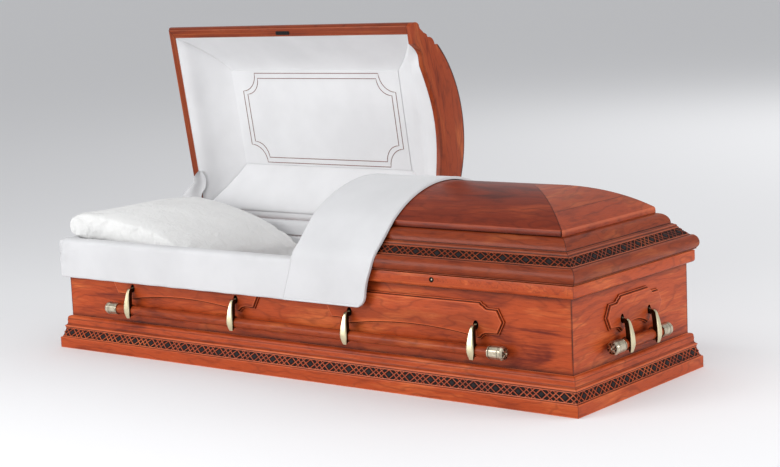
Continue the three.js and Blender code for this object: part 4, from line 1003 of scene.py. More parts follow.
def header(name, node, near, far, body, change):
    """The arched board at the cut end of a lid, its grain upright."""
    face = [(HALF_W - i, z) for i, z in lid_face()]
    face += [(CROWN_HALF + o, CROWN_BASE + h) for o, h in CROWN_NOSE]
    face += [(y, crown_height(HALF_W - y)) for y in CROWN_HALF * np.cos(np.linspace(0.03, math.pi / 2, 22))]
    outside = face + [(-y, z) for y, z in reversed(face[:-1])]
    wide = [ARCH["shoulder"] + (ARCH["half"] - ARCH["shoulder"]) * s
            for s in (1, 0.93, 0.8, 0.6, 0.35, 0.15, 0)]
    arch = [ARCH["ledge"] * s for s in (1, 0.96, 0.88, 0.76, 0.6, 0.42, 0.22, 0)]
    left = [-y for y in wide + arch]
    stops = left + [-y for y in reversed(left[:-1])]
    outline = np.array(outside + [(y, arch_height(y)) for y in stops])
    inner = offset_outline(outline, 1.0) - outline
    share = np.zeros(len(outline))
    share[np.hypot(outline[:, 0], outline[:, 1] - CROWN_APEX + CROWN_RADIUS) > CROWN_RADIUS - 0.5] = 1
    share[len(outside) + 1:-1] = 1
    ahead = 1 if far > near else -1
    # painted shade along the chamfer, a third as strong round the arch
    chamfer_shade = share.copy()
    chamfer_shade[len(outside):] *= 0.35
    # Distance behind the cut, depth of the chamfer there and its painted shade
    loops = ((0, 7.5, 0.0), (0.2, 6.4, 0.8), (0.7, 3.0, 0.7), (1.4, 0.5, 0.9), (2.6, 0, 0.4),
             (abs(far - near), 0, 0))
    points, grain, dark = [], [], []
    for back, deep, tint in loops:
        points += [(near + ahead * back, y, z) for y, z in outline + inner * deep * share[:, None]]
        grain += [(y * MM + 9, z * MM + 2, back * MM) for y, z in outline]
        dark += list(chamfer_shade * tint)
    shape = Shape().add(points, capped(len(outline), len(loops)), grain, dark)
    shape.moved(change).build(name, CHERRY_SHADED_AND_DARK, body, [node], "cherry", sharp=25)


def lids():
    for which, near, far, end, body, periods, change in (
            ("foot", FOOT_CUT, FOOT_HEADER, 1, "foot_lid", LID_PERIODS, None),
            ("head", HEAD_CUT, HEAD_HEADER, -1, "head_lid", (HEAD_PERIODS, LID_PERIODS[1]), quarter_turn)):
        start = far + 0.3 * end
        header(f"{which}_header_board", f"{which}_lid_header", near, far, body, change)
        lid_frame(f"{which}_lid_mouldings", f"{which}_lid_frame", start, end, body, periods, change)
        crown_long(f"{which}_crown_board", f"{which}_lid_crown", start, end, body, change)
        crown_hip(f"{which}_hip_boards", f"{which}_lid_hip", end, body, change)


# Handles, drawn along X at the front and turned to their side
def octagon(radius):
    """A rounded eight-sided section of [y, z] pairs about zero: three points to a side."""
    eighth, ease = math.radians(22.5), 0.28
    side = radius / math.cos(eighth * (1 - ease))
    bulge = radius / math.cos(eighth) * (1 - 0.018) * math.cos(eighth * (1 - ease))
    turns = [(eighth * (1 + 2 * k + turn), r) for k in range(8)
             for turn, r in ((-ease, side), (0, bulge), (ease, side))]
    return [(r * math.cos(a), r * math.sin(a)) for a, r in turns]


def along_bar(shape, stations, glaze_and_painted_light, sign=1, x0=0.0):
    """An eight-sided body along X through stations of [distance, radius]."""
    points, dark, grain = [], [], []
    for (d, radius), tint in zip(stations, glaze_and_painted_light):
        section = octagon(radius)
        points += [(x0 + sign * d, -BAR_OUT + y, BAR_HEIGHT + z) for y, z in section]
        dark += [tint] * len(section)
        grain += [((x0 + sign * d) * MM, k * 0.004, 0.7) for k in range(len(section))]
    shape.add(points, capped(len(section), len(stations)), grain, dark)


def end_cap(shape, x0, sign):
    """A faceted ferrule with a lipped neck and a cross carved on its end."""
    neck, cap = BAR_RADIUS, CAP_RADIUS
    stations = [(0, neck + 0.4), (0.6, neck + 2.6), (3.6, neck + 3.0), (4.8, neck + 1.4), (6.0, neck + 1.4),
                (7.2, neck + 2.4), (34, cap - 0.5), (36, cap - 1.6), (38, cap - 0.2), (46, cap + 0.4),
                (49, cap - 0.6), (54, cap - 3.5), (54.5, cap - 5.0)]
    glaze_and_painted_light = [0.6, 0.0, 0.0, 0.8, 0.8, 0.1, 0.0, 0.7, 0.1, 0.0, 0.0, 0.2, 0.9]
    along_bar(shape, stations, glaze_and_painted_light, sign, x0)
    face = 54.0

    def on_face(radius, across, out, turn):
        y = radius * math.cos(turn) - across * math.sin(turn)
        z = radius * math.sin(turn) + across * math.cos(turn)
        return x0 + sign * (face + out), -BAR_OUT + y, BAR_HEIGHT + z

    # Outlines of [distance out, across, extra height], their turn, top shape and glaze low and high
    petal = [(2.0, 0, 1.5), (8.0, -4.6, 1.0), (15.2, -2.2, -1.0), (15.2, 2.2, -1.0), (8.0, 4.6, 1.0)]
    drop = [(6.0, -1.5, 0), (12.5, -3.6, 0), (14.6, 0, 0), (12.5, 3.6, 0), (6.0, 1.5, 0)]
    carvings = ((petal, 45, (0.97, 0.7, 2.6), (0.9, -0.2)), (drop, 90, (1.0, 0.55, 1.4), (1.0, 0.3)))
    for quarter in range(4):
        for outline, skew, (long, slim, proud), (dark, pale) in carvings:
            turn = math.radians(skew + 90 * quarter)
            low = [on_face(r, t, -1.0, turn) for r, t, _ in outline]
            high = [on_face(r * long, t * slim, proud + h, turn) for r, t, h in outline]
            shape.add(low + high, capped(5, 2), None, [dark] * 5 + [pale] * 5)
    knob = [(0.05, 8.0), (2.2, 7.6), (3.8, 6.0), (4.2, 3.0), (3.6, -1.0), (0.05, -1.0)]
    turned(shape, knob, (x0 + sign * face, -BAR_OUT, BAR_HEIGHT), "x" if sign > 0 else "-x", 12)


def spindle(shape, x0):
    """One arm: a faceted plate in front of the bar, hooked back into the panel at the top."""
    # Distance out from the wall, height, half width, thickness and glaze, from hook to foot; the glaze is
    # painted shade where the hook goes into its slot
    stations = [
        (8, 229.8, 3.0, 2.0, 0.9), (14.5, 231.0, 3.4, 2.4, 0.5), (21.5, 231.4, 3.8, 2.6, 0.2),
        (28.0, 229.8, 4.2, 3.0, 0.0), (31.6, 226.6, 4.4, 3.6, 0.2), (33.6, 221.6, 5.6, 4.4, 0.0),
        (36.4, 210, 7.9, 5.2, 0.0), (39.6, 195, 10.4, 5.6, 0.0), (41.9, 180, 12.3, 5.8, 0.0),
        (43, 166, 13.0, 5.8, 0.0), (43, 156, 12.6, 5.8, 0.0), (41, 145, 9.8, 5.4, 0.0),
        (38.6, 136.5, 7.2, 4.6, 0.0), (38.2, ARM_FOOT, 6.8, 4.0, 0.4)]
    section = [(-0.9, -0.4, 1.0), (-1.0, 0.3, 1.0), (-1.0, 0.58, 0.2), (-0.97, 0.66, 0.0), (-0.66, 1.0, 0.0),
               (0.66, 1.0, 0.0), (0.97, 0.66, 0.0), (1.0, 0.58, 0.2), (1.0, 0.3, 1.0), (0.9, -0.4, 1.0)]
    centres = np.array([(-y, z) for y, z, _, _, _ in stations])
    last = len(stations) - 1

    def outward(here, there):
        ahead = (there - here) / np.linalg.norm(there - here)
        return np.array([ahead[1], -ahead[0]])

    points, glaze_and_painted_light = [], []
    for n, (_, _, half, thick, dark) in enumerate(stations):
        out = outward(centres[max(n - 1, 0)], centres[min(n + 1, last)])
        for u, d, tint in section:
            points.append((x0 + u * half, *(centres[n] + out * d * thick)))
            glaze_and_painted_light.append(max(tint, dark))
    shape.add(points, capped(len(section), len(stations)), None, glaze_and_painted_light)
    # The rib behind the plate, painted dark as blackened metal and as painted shade behind the plate, from
    # one station inside its top to one inside its foot
    points = []
    for n, (_, _, half, thick, _) in enumerate(stations[1:-1]):
        out = outward(centres[n], centres[n + 2])
        wide = half + (1.9 if n < 5 else 0.5)
        deep = 12.0 if n < 9 else 12.0 - 3 * (n - 8)
        front = 0.25 * thick + (1.6 if n < 3 else 0)
        for u, d in ((-wide + 0.8, -deep), (-wide, -deep + 0.8), (-wide, front), (wide, front),
                     (wide, -deep + 0.8), (wide - 0.8, -deep)):
            points.append((x0 + u, *(centres[n + 1] + out * d)))
    shape.add(points, capped(6, len(stations) - 2), None, np.ones(len(points)))
    # ear and collar darkened: antiquing, and painted shade where they hide behind the plate
    ear = [(0.05, -4.5), (5.0, -4.5), (5.5, -3.8), (5.5, 3.8), (5.0, 4.5), (0.05, 4.5)]
    turned(shape, ear, (x0, -PIVOT_OUT, PIVOT), "x", 16, glaze_and_painted_light=0.9)
    collar = [(BAR_RADIUS + 1.2, -4.4), (BAR_RADIUS + 3.0, -4.4), (BAR_RADIUS + 3.4, -3.6),
              (BAR_RADIUS + 3.4, 3.6), (BAR_RADIUS + 3.0, 4.4), (BAR_RADIUS + 1.2, 4.4)]
    turned(shape, collar, (x0, -BAR_OUT, BAR_HEIGHT), "x", 24, glaze_and_painted_light=0.85)
    pin = [(0.05, 0.0), (2.4, 0.0), (2.4, 1.6), (1.7, 2.8), (0.05, 3.2)]
    for side in (-1, 1):
        turned(shape, pin, (x0 + side * 4.3, -BAR_OUT - BAR_RADIUS - 1.5, BAR_HEIGHT + 2),
               "x" if side > 0 else "-x", 10)


def handle(side, half, arms, turn, wall):
    """Bar, caps and arms of one side; each piece stands for its own frame node."""
    c, s = math.cos(turn), math.sin(turn)

    def turned_to_side(points):
        p = np.array(points, float)
        p[:, 1] -= wall
        return np.stack([p[:, 0] * c - p[:, 1] * s, p[:, 0] * s + p[:, 1] * c, p[:, 2]], axis=1)

    body = f"handle_{side}"
    bar_half = half - CAP_LENGTH - 0.3
    bar = Shape()
    along_bar(bar, [(-bar_half, BAR_RADIUS - 1.2), (bar_half, BAR_RADIUS - 1.2)], (0.0, 0.0))
    bar.moved(turned_to_side).build(f"bar_of_{side}_handle", CHERRY_SHADED_AND_DARK, body, [f"bar_{side}"], "cherry_dark")
    for n, sign in ((1, -1), (2, 1)):
        cap = Shape()
        end_cap(cap, sign * (bar_half + 0.3), sign)
        cap.moved(turned_to_side).build(f"end_cap_{side}_{n}", BRASS, body, [f"cap_{side}_{n}"],
                                        "antique_brass", sharp=20)
    for n, x in enumerate(arms, 1):
        arm = Shape()
        spindle(arm, x)
        arm.moved(turned_to_side).build(f"spindle_{side}_{n}", GOLD, body, [f"arm_{side}_{n}"],
                                        "champagne_gold", sharp=20)


def handles():
    long_half = corners("cap_front_2")[1][0]
    short_half = corners("cap_foot_2")[1][1]
    four = [n * ARM_SPACING for n in (-1.5, -0.5, 0.5, 1.5)]
    two = [n * SHORT_ARM_SPACING for n in (-0.5, 0.5)]
    handle("front", long_half, four, 0, WALL_Y)
    handle("foot", short_half, two, math.pi / 2, WALL_X)
    handle("back", long_half, four, math.pi, WALL_Y)
    handle("head", short_half, two, -math.pi / 2, WALL_X)


def hinges():
    """Butt hinges on the back rim: a screwed leaf and a barrel of five knuckles."""
    back = HALF_W - RIM_INSET + 0.3
    head = [(0.05, 1.0), (3.5, 1.0), (3.5, 1.9), (2.9, 2.3), (0.9, 2.5), (0.05, 2.5)]
    for name in ("head_1", "head_2", "foot_1", "foot_2"):
        low, high = corners(f"hinge_{name}")
        middle, half = (low[0] + high[0]) / 2, (high[0] - low[0]) / 2
        foot, top = low[2] - HINGE_Z, 0.0
        shape = Shape()
        outline = [(-half, top), (-half, foot + 5)] + arc(5 - half, foot + 5, 5, 180, 270, 4)[1:]
        outline += arc(half - 5, foot + 5, 5, 270, 360, 4) + [(half, top)]
        slab(shape, outline, 0, 1.7)
        for u in (-0.74, -0.25, 0.25, 0.74):
            v = foot * (0.72 if abs(u) > 0.5 else 0.45)
            turned(shape, head, (u * half, v, 0), "z", 14, glaze_and_painted_light=0.1)
            slot = [(u * half + c, v + d)
                    for c, d in ((-2.7, -0.45), (2.7, -0.45), (2.7, 0.45), (-2.7, 0.45))]
            slab(shape, slot, 2.3, 2.56, 0.1, glaze_and_painted_light=1.0)
        shape.moved(lambda p: np.stack([middle + p[:, 0], back + p[:, 2], HINGE_Z + p[:, 1]], axis=1))
        length = 2 * half / KNUCKLES
        for k in range(KNUCKLES):
            a, b = -half + k * length + 0.25, -half + (k + 1) * length - 0.25
            barrel = [(0.05, a), (3.6, a), (4.1, a + 0.5), (4.1, b - 0.5), (3.6, b), (0.05, b)]
            turned(shape, barrel, (middle, HINGE_Y, HINGE_Z), "x", 20)
        tip = [(0.05, half - 1), (2.8, half - 1), (3.2, half + 0.4), (2.4, half + 1.7), (0.05, half + 2.3)]
        for side in ("x", "-x"):
            turned(shape, tip, (middle, HINGE_Y, HINGE_Z), side, 14)
        shape.build(f"butt_hinge_{name}", BRASS, "root", [f"hinge_{name}"], "antique_brass")


plinth()
rim()
kept_boards()
applied_panels()
lids()
handles()


# Soft furnishings
def lid_lining():
    """Coved and padded lining, drawn closed: four mitred borders round a flat middle."""
    gap = LID_INSET + LID_WOOD + 0.5
    x0, x1, half = -HALF_L + gap, HEAD_HEADER - 0.5, HALF_W - gap
    foot, edge = LID_BOTTOM + 1, LINING_BORDER
    crest = foot + LINING_DEPTH + 3.3
    middle, reach = (x0 + x1) / 2, (x1 - x0) / 2
    steps = np.array([0, 2, 5, 9, 14, 20, 27, 35, 44, 53, 62, 72, 82, 92, 102, 112, 122, 131, 139, 144, 147])
    ends = np.array([0, 0.004, 0.009, 0.016, 0.03, 0.05, 0.08, 0.12, 0.17])
    wide = np.concatenate([ends - 1, np.linspace(-0.76, 0.76, 25), 1 - ends[::-1]])
    sides = {
        "front": (reach, lambda w, j: (middle + w * (reach - j), j - half)),
        "header": (half, lambda w, j: (x1 - j, w * (half - j))),
        "back": (reach, lambda w, j: (middle - w * (reach - j), half - j)),
        "head": (half, lambda w, j: (x0 + j, -w * (half - j))),
    }

    def pad(side, j):
        share = j / edge
        if side == "head":
            return 11 * math.exp(-((j - 26) / 19) ** 2) * min(j / 8, 1) + 2.5 * math.sin(math.pi * share)
        if side == "header":
            return 7.5 * abs(math.sin(2 * math.pi * share)) ** 0.8
        if side == "back":
            return 42 * math.sin(math.pi * share ** 0.75) ** 0.8
        return 3.5 * math.sin(math.pi * share ** 0.7)

    shape = Shape()
    inner_row, back_row, start = [], [], 0
    for side, (along, at) in sides.items():
        points, glaze_and_painted_light = [], []
        for j in steps:
            rise = 1 - (1 - j / edge) ** COVE_POWER
            for w in wide:
                x, y = at(w, j)
                low = max(foot, arch_height(w * half) + 1) if side == "header" else foot
                inside = 1 - abs(w) ** (5 if side == "back" else 10)
                seam = (1 - abs(w)) * (along - j) * 0.7
                swelling = 1.4 * lump(x / 70, y / 70, 5 / 70) * (1 - w * w) * min(j, edge - j) / 40
                z = low + (crest - low) * rise - pad(side, j) * inside - swelling
                points.append((x, y, z + 1.6 * math.exp(-(seam / 2.6) ** 2) * min(j / 10, 1)))
                glaze_and_painted_light.append(0.5 * math.exp(-(seam / 1.6) ** 2))
        count, depth = len(wide), len(steps)
        front = loft_faces(count, depth, closed_section=False)
        back = [[i + count * depth for i in f] for f in front]
        wall = [[i, i + 1, i + 1 + count * depth, i + count * depth] for i in range(count - 1)]
        behind = [(x, y, z + 4) for x, y, z in points]
        shape.add(points + behind, front + back + wall, None, glaze_and_painted_light * 2)
        inner_row += [start + (depth - 1) * count + i for i in range(count - 1)]
        back_row += [start + (2 * depth - 1) * count + i for i in range(count - 1)]
        start += 2 * count * depth
    shape.faces += [inner_row, back_row]
    shape.paint += [0, 0]
    apron = [(half - 3, foot - 0.4), (half + 3, foot - 3.6), (half + 14, foot - 4.4), (half + 24, foot - 3.4),
             (half + 27, foot - 1.6), (half + 27, foot - 1.2), (half - 3, foot + 0.2)]
    places = np.linspace(x0 + 1, x1 - 1, 60)
    shape.add([(x, y, z - 0.7 * lump(x / 50, y / 50, 0)) for x in places for y, z in apron],
              capped(len(apron), len(places)))
    lining = shape.moved(quarter_turn).build("lid_lining", WHITE, "head_lid", ["head_lid_lining"],
                                             "white_cloth", sharp=50)
    turn = (0, math.sin(LID_ANGLE), math.cos(LID_ANGLE))
    quarter_turn([(0, 0, crest)])[0] * MM
    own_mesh(lining)
    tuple(turn)

    cap = Shape()
    outline = np.array([(x0 + edge + 1, edge + 1 - half), (x1 - edge - 1, edge + 1 - half),
                        (x1 - edge - 1, half - edge - 1), (x0 + edge + 1, half - edge - 1)])
    low = crest - 3.3
    loops = []
    for inset, z in ((0, crest - 0.3), (0, low + 1.8), (0.6, low + 0.6), (2.0, low + 0.1), (4.0, low)):
        loops += [(x, y, z) for x, y in offset_outline(outline, inset)]
    cap.add(loops, capped(4, 5), None, [0.3] * 4 + [0.2] * 4 + [0] * 12)
    panel = cap.moved(quarter_turn).build("cap_panel", WHITE, "head_lid", ["head_lid_cap_panel"],
                                          "white_cloth")

    stitches = Shape()
    for inset, radius in ((0, 67), (19, 60)):
        a, b, c = STITCH["head"] + inset, STITCH["foot"] - inset, STITCH["half"] - inset
        path = []
        for cx, cy, turn in ((a, -c, 90), (b, -c, 180), (b, c, 270), (a, c, 0)):
            path += arc(cx, cy, radius, turn, turn - 90, 8)
        cord(stitches, [(x, y, low - 0.5) for x, y in path], 1.25)
    stitches.moved(quarter_turn).build("cap_panel_stitching", THREAD, "head_lid", slot="white_cloth")


def cord(shape, path, radius):
    """A closed round of cord along a path of points."""
    path = np.array(path, float)
    count, sides = len(path), 6
    points = []
    for i in range(count):
        a, b = path[i - 1], path[(i + 1) % count]
        ahead = (b - a) / np.linalg.norm(b - a)
        across = np.cross(ahead, (0, 0, 1))
        across /= np.linalg.norm(across)
        above = np.cross(across, ahead)
        points += [path[i] + radius * (across * math.cos(t) + above * math.sin(t))
                   for t in np.linspace(0, 2 * math.pi, sides, endpoint=False)]
    shape.add(points, loft_faces(sides, count, closed_run=True))


def latch():
    """The catch plate in the head lid's front edge, with three raised blocks."""
    middle = (HEAD_CUT - HALF_L) / 2
    y, face = -(HALF_W - LATCH["inset"]), LID_BOTTOM - 0.3
    shape = Shape()
    half, wide = LATCH["length"] / 2, LATCH["width"] / 2
    plate = [(-half + 4, -wide), (half - 4, -wide), (half - 1, -wide + 2), (half, 0), (half - 1, wide - 2),
             (half - 4, wide), (-half + 4, wide), (-half + 1, wide - 2), (-half, 0), (-half + 1, -wide + 2)]
    slab(shape, [(middle + u, y + v) for u, v in plate], face, face - 1.0)
    third = (2 * half - 8) / 3
    for k in (-1, 0, 1):
        block = [(k * third + s * (third / 2 - 1.4), t * (wide - 2.4)) for s, t in
                 ((-1, -1), (1, -1), (1, 1), (-1, 1))]
        slab(shape, [(middle + u, y + v) for u, v in block], face - 0.8, face - 1.9)
    shape.moved(quarter_turn).build("catch_plate", BLACK, "head_lid", ["latch_plate"], "black_metal")


def slab(shape, outline, low, high, ease=0.5, glaze_and_painted_light=0.0):
    """A flat plate with its top edge eased."""
    outline = np.array(outline, float)
    up = 1 if high > low else -1
    loops = []
    for inset, z in ((0, low), (0, high - up * ease), (ease, high)):
        loops += [(x, y, z) for x, y in offset_outline(outline, inset)]
    shape.add(loops, capped(len(outline), 3), None, np.full(len(loops), glaze_and_painted_light))


def body_lining():
    """Cloth lining inside the walls, in soft upright pleats."""
    low, high = corners("body_lining")
    half_x, half_y, thick = high[0], high[1], 10
    shape = Shape()
    levels = [low[2], *np.linspace(low[2] + 20, high[2] - 12, 10), high[2] - 5, high[2] - 1]
    sides = [((-1, -1), (1, -1)), ((1, -1), (1, 1)), ((1, 1), (-1, 1)), ((-1, 1), (-1, -1))]
    points, stations = [], 0
    for (ax, ay), (bx, by) in sides:
        length = half_x if ay == by else half_y
        for share in np.linspace(0, 1, int(length / 6), endpoint=False):
            sx, sy = ax + (bx - ax) * share, ay + (by - ay) * share
            window = min(share, 1 - share) * 12
            stations += 1
            for z in levels:
                pleat = 1.1 * math.sin(share * length * 2 / 9)
                pleat += lump(sx * half_x / 45, sy * half_y / 45, z * 0.3 / 45)
                roll = 5 if z > high[2] - 2 else (1.5 if z > high[2] - 6 else 0)
                d = thick - roll - pleat * min(window, 1) * (0.4 if roll else 1)
                points.append((sx * (half_x - d), sy * (half_y - d), z))
            points += [(sx * half_x, sy * half_y, high[2]), (sx * half_x, sy * half_y, low[2])]
    shape.add(points, loft_faces(len(levels) + 2, stations, closed_run=True))
    lining = shape.build("lining_of_walls", WHITE, "root", ["body_lining"], "white_cloth", sharp=60)


def mattress():
    """A padded bed with an eased edge and a slightly uneven top."""
    low, high = corners("mattress")
    levels = [(0, low[2] + 1), (0, high[2] - 18), (1.5, high[2] - 11), (5, high[2] - 6), (11, high[2] - 3),
              (20, high[2] - 1.5)]
    levels += [(i, high[2] - 0.5) for i in (40, 70, 105, 145, 190, 240, 290)]
    shape = Shape()
    points = []
    long, short = (np.linspace(-1, 1, count, endpoint=False) for count in (60, 24))
    around = np.concatenate([long, np.full(24, 1.0), -long, np.full(24, -1.0)])
    across = np.concatenate([np.full(60, -1.0), short, np.full(60, 1.0), -short])
    for inset, z in levels:
        for sx, sy in zip(around, across):
            x, y = sx * (high[0] - inset), sy * (high[1] - inset)
            points.append((x, y, z + (1.2 * lump(x / 90, y / 90, 0) if inset > 10 else 0)))
    shape.add(points, capped(len(around), len(levels)))
    bed = shape.build("bed_mattress", WHITE, "root", ["mattress"], "white_cloth", sharp=60)


def pillow():
    """A loosely filled pillow, leaning on the head end, its cover swollen by a short simulation."""
    reach = PILLOW["length"] / 2
    middle = -HALF_L + PILLOW["from_end"] + reach
    bed = corners("mattress")[1][2]
    seam_foot, seam_head = bed + PILLOW["seam_foot"], RIM_TOP + PILLOW["seam_head"]
    count = 56
    turns = np.sin((np.linspace(0, 1, count + 1) - 0.5) * math.pi)
    points, faces, index = [], [], {}
    for side in (1, -1):
        for i, u in enumerate(turns):
            for j, v in enumerate(turns):
                rim = i in (0, count) or j in (0, count)
                key = (i, j, 0 if rim else side)
                if key in index:
                    continue
                to_head = (1 - u) / 2
                seam = seam_foot + (seam_head - seam_foot) * to_head ** 0.62
                boxy = 0.17 * (max(-u, 0) * max(-v, 0)) ** 2
                full = ((1 - u * u) * (1 - v * v)) ** (PILLOW["fullness"] - boxy)
                full *= 1 - 0.75 * (max(u, 0) * max(v, 0)) ** 3
                full *= 1 - 0.22 * max(-u, 0) ** 4 * (1 - max(-v, 0) ** 6)
                z = seam + (PILLOW["top"] if side > 0 else -PILLOW["under"]) * full
                x = middle + reach * u * (1 - PILLOW["waist"] * (1 - v * v))
                y = v * (HALF_W - PILLOW["from_side"] + PILLOW["flare"] * max(0, 4 * to_head - 3))
                y *= 1 - PILLOW["waist"] * (1 - u * u)
                index[key] = len(points)
                points.append((x, y, max(z, bed + 1)))
    for i in range(count):
        for j in range(count):
            for side in (1, -1):
                loop = []
                for a, b in ((i, j), (i + 1, j), (i + 1, j + 1), (i, j + 1)):
                    rim = a in (0, count) or b in (0, count)
                    loop.append(index[(a, b, 0 if rim else side)])
                faces.append(loop)
    piece = Shape().add(points, faces).build("head_pillow", PILLOW_CLOTH, "root", ["pillow"], "pillow_cloth",
                                             sharp=180)
    swell(piece)
    crumple(piece, [points[index[(i, j, 0)]] for i in (0, count) for j in (0, count)])
    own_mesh(piece)


def crumple(piece, ends):
    """Folds that run out from the corners of a cover."""
    for v in piece.data.vertices:
        at = np.array(v.co[:]) / MM
        for n, end in enumerate(ends):
            d = at - end
            far = math.hypot(d[0], d[1])
            if far < CRUMPLE["reach"]:
                turn = math.atan2(d[1], d[0]) * CRUMPLE["folds"] + 2.5 * lump(*(at / 60)) + n
                deep = CRUMPLE["depth"] * min(far / 40, 1) * math.exp(-(far / CRUMPLE["fade"]) ** 2)
                v.co += v.normal * (deep * math.sin(turn + d[2] / 22) * MM)


def swell(piece):
    """Lets the piece's own cloth swell from inside, with no point moving further than a limit."""
    twin = linked("swelling", piece.data.copy())
    remesh = twin.modifiers.new("remesh", "REMESH")
    remesh.mode, remesh.voxel_size = "VOXEL", SWELL["voxel"] * MM
    apply_modifiers(twin)
    start = np.array([v.co[:] for v in twin.data.vertices])
    soft = twin.modifiers.new("cover", "CLOTH")
    soft.settings.use_pressure = True
    soft.settings.uniform_pressure_force = SWELL["pressure"]
    soft.settings.effector_weights.gravity = 0
    soft.settings.shrink_min = -SWELL["grow"]
    soft.settings.bending_stiffness = 0.1
    soft.settings.mass = 0.3
    soft.point_cache.frame_start, soft.point_cache.frame_end = 1, SWELL["steps"]
    for step in range(1, SWELL["steps"] + 1):
        bpy.context.scene.frame_set(step)
    seen = twin.evaluated_get(bpy.context.evaluated_depsgraph_get())
    end = np.array([v.co[:] for v in seen.data.vertices])
    bpy.context.scene.frame_set(1)
    move = end - start
    far = np.linalg.norm(move, axis=1, keepdims=True)
    move *= np.minimum(1.0, SWELL["limit"] * MM / np.maximum(far, 1e-9))
    mesh = twin.data.copy()
    mesh.vertices.foreach_set("co", (start + move).astype(np.float32).ravel())
    bpy.data.objects.remove(twin)
    materials = list(piece.data.materials)
    piece.data = mesh
    mesh.materials.clear()
    for material in materials:
        mesh.materials.append(material)
    mesh.shade_smooth()


def skirt_section():
    """The extendover's section as [inset, height, softness]: how far ripples may move each point."""
    out, inside, top = RIM_INSET - 6.5, RIM_INNER + 0.5, RIM_TOP + 0.5
    hem, tail = corners("extendover")[0][2], RIM_LOW + 1
    front = [(out + 3, hem - 0.6, 0.5), (out + 0.6, hem + 0.6, 0.8)]
    front += [(out, z, 1.0) for z in np.linspace(hem + 5, top - 4, 11)]
    front += [(out + 0.8, top + 3, 0.9), (out + 3.5, top + 8, 0.8), (out + 8, top + 11.8, 0.7)]
    front += [(i, top + 13.8, 0.7) for i in np.linspace(out + 14, inside - 14, 5)]
    front += [(inside - 7, top + 12, 0.6), (inside - 0.8, top + 7.5, 0.5), (inside + 3, top - 1, 0.4),
              (inside + 3.5, top - 14, 0.3), (inside + 3.5, tail, 0.0)]
    return front + [(inside, tail, 0), (inside, top - 0.2, 0), (RIM_INSET - 0.5, top - 0.2, 0),
                    (RIM_INSET - 0.5, hem + 0.8, 0)]


def extendover():
    """The cloth that covers the rim round the head half and hangs outside it, with the roll on the back
    rim and the loose end at the hinge."""
    section = skirt_section()
    low, high = corners("extendover")
    cut, stop = high[0], high[1]
    ease = 13.0
    corner = (-HALF_L + RIM_INSET + ease, -HALF_W + RIM_INSET + ease)
    shape = Shape()
    stations = [("front", x) for x in np.linspace(cut, corner[0], 100)]
    stations += [("corner", a) for a in np.linspace(90, 0, 9)[1:]]
    stations += [("end", y) for y in np.linspace(corner[1], stop, 66)[1:]]
    points = []
    for kind, at in stations:
        for inset, z, soft in section:
            d = RIM_INSET + ease - inset
            if kind == "front":
                x, y, out = at, corner[1] - d, (0, -1)
                near = math.exp(-((at - corner[0]) / 60) ** 2)
            elif kind == "end":
                x, y, out = corner[0] - d, at, (-1, 0)
                near = math.exp(-((at - corner[1]) / 60) ** 2)
            else:
                a = math.radians(at)
                out = (-math.cos(a), -math.sin(a))
                x, y = corner[0] + out[0] * max(d, 0.5), corner[1] + out[1] * max(d, 0.5)
                if d < 0:
                    x, y = corner[0] - d, corner[1] - d
                near = 1.0
            wave = 1.2 * lump(x / 120, y / 120, z / 160) + 0.7 * lump(x / 36, y / 36, z / 90 + 7)
            fan = math.atan2(z - RIM_TOP + 34, (x - corner[0]) + (y - corner[1]) + 30)
            wave += near * 3.8 * math.sin(fan * 13 + x * 0.04) * (1 if z > RIM_TOP - 60 else 0.4)
            hem = 0.5 * math.sin((x - y) / 19) * math.exp(-((z - low[2]) / 14) ** 2)
            points.append((x + out[0] * soft * wave, y + out[1] * soft * wave,
                           z + (soft * wave * 0.5 if z > RIM_TOP else 0) + hem * min(soft * 2, 1)))
    shape.add(points, capped(len(section), len(stations)))

    top, inside = RIM_TOP + 0.5, RIM_INNER + 0.5
    roll = [(RIM_INSET + i, top + h) for i, h in ((9, 0), (9.4, 4), (12, 8), (18, 10.6), (27, 11.4))]
    roll += [(inside + i, top + h) for i, h in ((-11, 10.8), (-4, 8.2), (1.5, 3), (3.5, -5))]
    roll += [(inside + 3.5, RIM_LOW + 1), (inside, RIM_LOW + 1), (inside, top)]
    points = []
    places = np.linspace(cut, -(HALF_L - inside), 70)
    for x in places:
        for n, (inset, z) in enumerate(roll):
            lift = 1.3 * lump(x / 60, inset / 60, 3) if 0 < n < 9 else 0
            points.append((x, HALF_W - inset - lift, z + lift))
    shape.add(points, capped(len(roll), len(places)))
    loose_end(shape)
    skirt = shape.build("extendover_cloth", WHITE_CREPE_SHADED, "root", ["extendover"], "white_cloth", sharp=60)
    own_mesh(skirt)


def loose_end(shape):
    """The standing end of the cloth beside the hinge corner, folded in an S."""
    base, tip = np.array(LOOSE["base"], float), np.array(LOOSE["tip"], float)
    along = np.array((0.80, 0.60, 0))
    normal = np.array((0.60, -0.80, 0))
    rows, columns = 16, 12
    front = []
    for i in range(rows + 1):
        share = i / rows
        wide = np.interp(share, LOOSE["share"], LOOSE["wide"])
        centre = base + (tip - base) * share + along * np.interp(share, LOOSE["share"], LOOSE["shift"])
        for j in range(columns + 1):
            u = j / columns - 0.5
            fold = 5 * math.sin(u * 6 + share * 5) + 3 * math.sin(share * 6.3)
            front.append(centre + along * wide * u + normal * fold)
    back = [p - normal * 3 for p in front]
    shape.add(front + back, two_sided(columns + 1, rows + 1))


def smoothed(row, times):
    """Evens out a row of numbers in place, its first and last kept."""
    for _ in range(times):
        row[1:-1] = (row[:-2] + 2 * row[1:-1] + row[2:]) / 4


